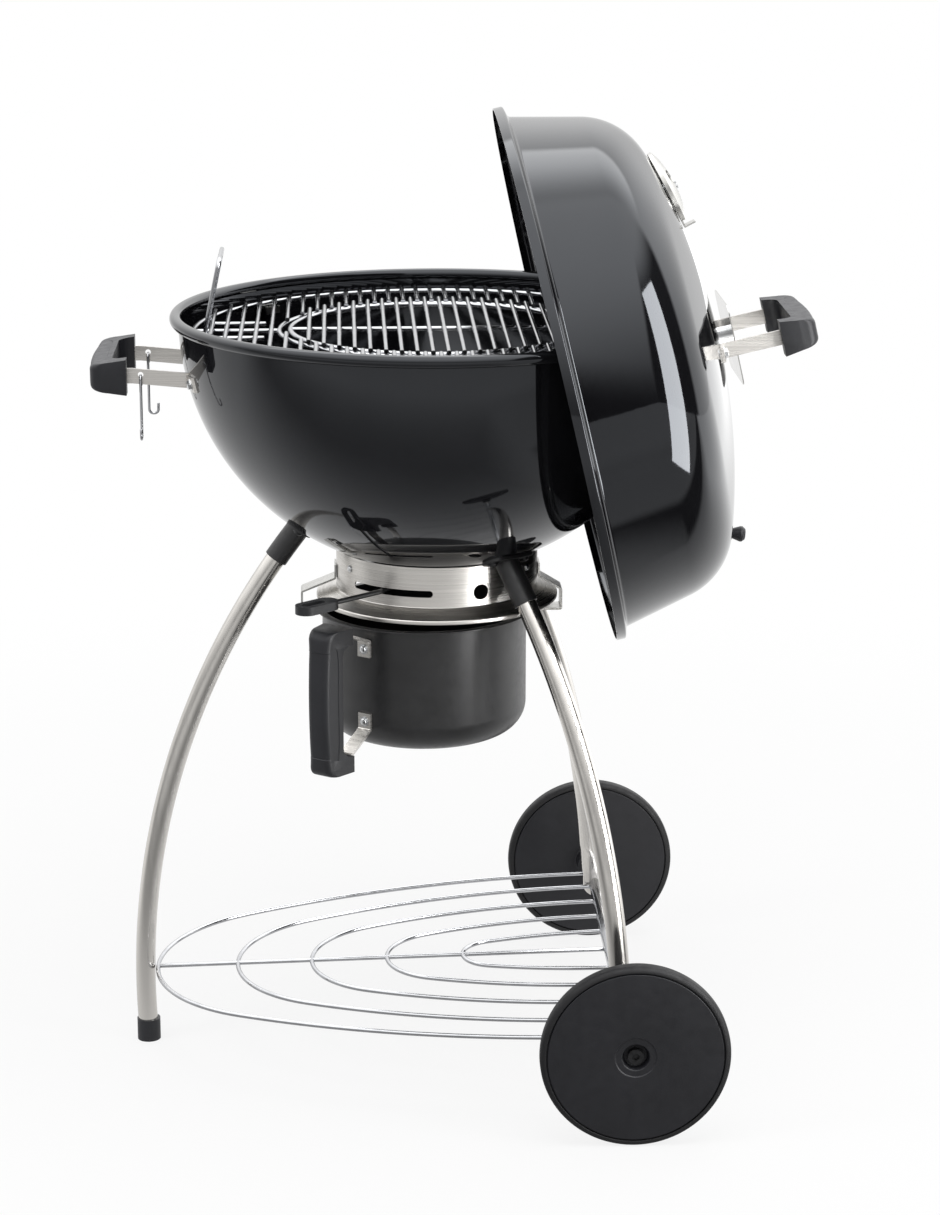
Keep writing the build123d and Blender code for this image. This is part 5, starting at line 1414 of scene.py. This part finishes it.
class KettleStaging(bpy.types.Operator):
    """Floor, white surroundings, soft lamps and the camera."""

    bl_idname = "kettle.stage"
    bl_label = "Studio"

    def execute(self, context):
        studio = settings("kettle_studio")
        scene = context.scene
        scene.view_settings.view_transform = "Standard"
        self.make_floor(studio)
        self.make_world(scene)
        middle = (0.0, 0.0, 0.55)
        beside_lid = (0.25, -0.2, 1.0)
        # Place, target, width, height and watts of each lamp.
        soft_lamp("lamp_top", (0.3, -0.5, 3.2), middle, 2.6, 2.2, 62)
        soft_lamp("lamp_right", (2.6, -1.4, 1.5), middle, 0.9, 2.4, 26)
        soft_lamp("lamp_left", (-2.8, -1.2, 1.7), middle, 1.0, 2.2, 26)
        soft_lamp("panel_right", (1.14, -0.85, 1.0), beside_lid, 0.55, 1.8, 40, mirrored=True)
        camera = bpy.data.cameras.new("photo_view")
        camera.sensor_fit = "VERTICAL"
        camera.sensor_height = 36
        camera.lens = studio.lens
        view = bpy.data.objects.new("photo_view", camera)
        view.location = studio.camera
        view.rotation_euler = (pi / 2 - studio.look_down, 0, -studio.look_right)
        scene.collection.objects.link(view)
        scene.camera = view
        return {"FINISHED"}

    def make_floor(self, studio):
        bm = bmesh.new()
        half = 9.0
        corners = [(-half, -half, 0), (half, -half, 0), (half, half, 0), (-half, half, 0)]
        bm.faces.new([bm.verts.new(corner) for corner in corners])
        floor = new_object("floor", bm)
        made = bpy.data.materials.new("pale_floor")
        made.use_nodes = True
        tree = made.node_tree
        matt = tree.nodes["Principled BSDF"]
        matt.inputs["Base Color"].default_value = (*studio.floor, 1)
        matt.inputs["Roughness"].default_value = 0.8
        place = tree.nodes.new("ShaderNodeTexCoord").outputs["Object"]
        away = tree.nodes.new("ShaderNodeVectorMath")
        away.operation = "LENGTH"
        tree.links.new(place, away.inputs[0])
        # The camera sees the floor a little greyer under the grill than further out.
        paler = spread(tree, away.outputs["Value"], 0.5, 2.0, 0.84, 1.0)
        across = wire_up(tree, "ShaderNodeSeparateXYZ", Vector=place).outputs
        # In reflections the floor is dim around the grill and brighter behind, ahead and to the right.
        back = spread(tree, across["Y"], -0.7, 0.4, 0.28, 1.0)
        ahead = spread(tree, across["Y"], -0.5, -2.0, 0.28, 0.80)
        right = spread(tree, across["X"], 0.15, 0.6, 0.26, 0.66)
        corner = reckon(
            tree,
            "MULTIPLY",
            spread(tree, across["X"], 0.8, 2.4, 0.0, 1.2),
            spread(tree, across["Y"], -0.3, 0.3, 0.0, 1.0),
        )
        # One dark strip to the right of the grill, seen in the lid.
        strip_y = -0.38
        beside = reckon(tree, "ABSOLUTE", reckon(tree, "SUBTRACT", across["Y"], strip_y))
        strip = spread(tree, beside, 0.14, 0.26, 0.05, 1.0)
        dimmed = reckon(tree, "MAXIMUM", strip, spread(tree, across["X"], 0.55, 0.75, 1.0, 0.0))
        sides = reckon(tree, "MAXIMUM", reckon(tree, "MAXIMUM", back, ahead), right)
        bright = reckon(tree, "ADD", sides, corner)
        mirrored = reckon(tree, "MULTIPLY", bright, dimmed)
        ray = tree.nodes.new("ShaderNodeLightPath")
        glossy = ray.outputs["Is Glossy Ray"]
        seen = reckon(tree, "MAXIMUM", ray.outputs["Is Camera Ray"], ray.outputs["Is Transmission Ray"])
        share = reckon(tree, "MAXIMUM", reckon(tree, "MULTIPLY", seen, paler), glossy)
        strength = reckon(tree, "MAXIMUM", seen, reckon(tree, "MULTIPLY", glossy, mirrored))
        glow = wire_up(tree, "ShaderNodeEmission", Color=(1, 1, 1, 1), Strength=strength)
        mix = tree.nodes.new("ShaderNodeMixShader")
        tree.links.new(share, mix.inputs[0])
        tree.links.new(matt.outputs[0], mix.inputs[1])
        tree.links.new(glow.outputs[0], mix.inputs[2])
        tree.links.new(mix.outputs[0], tree.nodes["Material Output"].inputs[0])
        floor.data.materials.append(made)

    def make_world(self, scene):
        world = bpy.data.worlds.new("studio")
        scene.world = world
        world.use_nodes = True
        tree = world.node_tree
        backdrop = tree.nodes["Background"]
        ray = tree.nodes.new("ShaderNodeLightPath")
        glossy = ray.outputs["Is Glossy Ray"]
        seen = reckon(tree, "MAXIMUM", ray.outputs["Is Camera Ray"], ray.outputs["Is Transmission Ray"])
        place = tree.nodes.new("ShaderNodeTexCoord").outputs["Generated"]
        way = wire_up(tree, "ShaderNodeSeparateXYZ", Vector=place).outputs
        # In reflections the room in front gets brighter with height, and is dark low on the right.
        room = spread(tree, way["Z"], -0.15, 1.0, 0.32, 2.8)
        gap = spread(tree, way["X"], 0.46, 0.54, 1.0, 0.03)
        open_sky = spread(tree, way["Z"], 0.62, 0.85, 0.0, 1.0)
        front = reckon(tree, "MULTIPLY", room, reckon(tree, "MAXIMUM", gap, open_sky))
        # Behind, the wall gets brighter with height and to the right, and is brightest at the top.
        wall = spread(tree, way["Z"], 0.0, 0.75, 0.9, 2.4)
        window = spread(tree, way["X"], 0.25, 0.65, 0.0, 0.8)
        edge = spread(tree, way["Z"], 0.74, 0.79, 0.0, 1.0)
        lip = reckon(tree, "MULTIPLY", edge, spread(tree, way["Y"], 0.1, 0.5, 0.0, 2.6))
        behind = reckon(tree, "ADD", reckon(tree, "ADD", wall, window), lip)
        turned = spread(tree, way["Y"], 0.04, 0.16, 0.0, 1.0)
        rear = reckon(tree, "MULTIPLY", behind, turned)
        ahead = reckon(tree, "MULTIPLY", front, reckon(tree, "SUBTRACT", 1.0, turned))
        mirrored = reckon(tree, "ADD", rear, ahead)
        fill_light = 0.45
        plain = reckon(tree, "SUBTRACT", 1.0, reckon(tree, "MAXIMUM", seen, glossy))
        lit = reckon(tree, "ADD", seen, reckon(tree, "MULTIPLY", glossy, mirrored))
        strength = reckon(tree, "ADD", lit, reckon(tree, "MULTIPLY", plain, fill_light))
        backdrop.inputs["Color"].default_value = (1, 1, 1, 1)
        tree.links.new(strength, backdrop.inputs["Strength"])


class KettlePanel(bpy.types.Panel):
    """Every step of the grill's looks."""

    bl_idname = "VIEW3D_PT_kettle_grill"
    bl_label = "Kettle grill"
    bl_space_type = "VIEW_3D"
    bl_region_type = "UI"
    bl_category = "Kettle grill"

    def draw(self, context):
        for step in STEPS:
            self.layout.operator(step.bl_idname)


GROUPS = {
    "kettle_shells": KettleShells,
    "kettle_grips": KettleGrips,
    "kettle_wires": KettleWires,
    "kettle_stand": KettleStand,
    "kettle_finishes": KettleFinishes,
    "kettle_studio": KettleStudio,
}
STEPS = (
    KettleFinishing,
    KettleBowl,
    KettleLid,
    KettleGripping,
    KettleGrates,
    KettleShelf,
    KettleLegs,
    KettleWheels,
    KettleAsh,
    KettleFixings,
    KettleStaging,
)


def register():
    for group in GROUPS.values():
        bpy.utils.register_class(group)
    for name, group in GROUPS.items():
        setattr(bpy.types.Scene, name, PointerProperty(type=group))
    for step in STEPS:
        bpy.utils.register_class(step)
    bpy.utils.register_class(KettlePanel)


def unregister():
    bpy.utils.unregister_class(KettlePanel)
    for step in reversed(STEPS):
        bpy.utils.unregister_class(step)
    for name in GROUPS:
        delattr(bpy.types.Scene, name)
    for group in reversed(GROUPS.values()):
        bpy.utils.unregister_class(group)


def main():
    register()
    bpy.ops.kettle.finishes()
    bpy.ops.kettle.bowl()
    bpy.ops.kettle.lid()
    bpy.ops.kettle.grips()
    bpy.ops.kettle.grates()
    bpy.ops.kettle.shelf()
    bpy.ops.kettle.legs()
    bpy.ops.kettle.wheels()
    bpy.ops.kettle.ash()
    bpy.ops.kettle.fixings()
    bpy.ops.kettle.stage()
    bpy.context.view_layer.update()


if __name__ == "__main__":
    main()
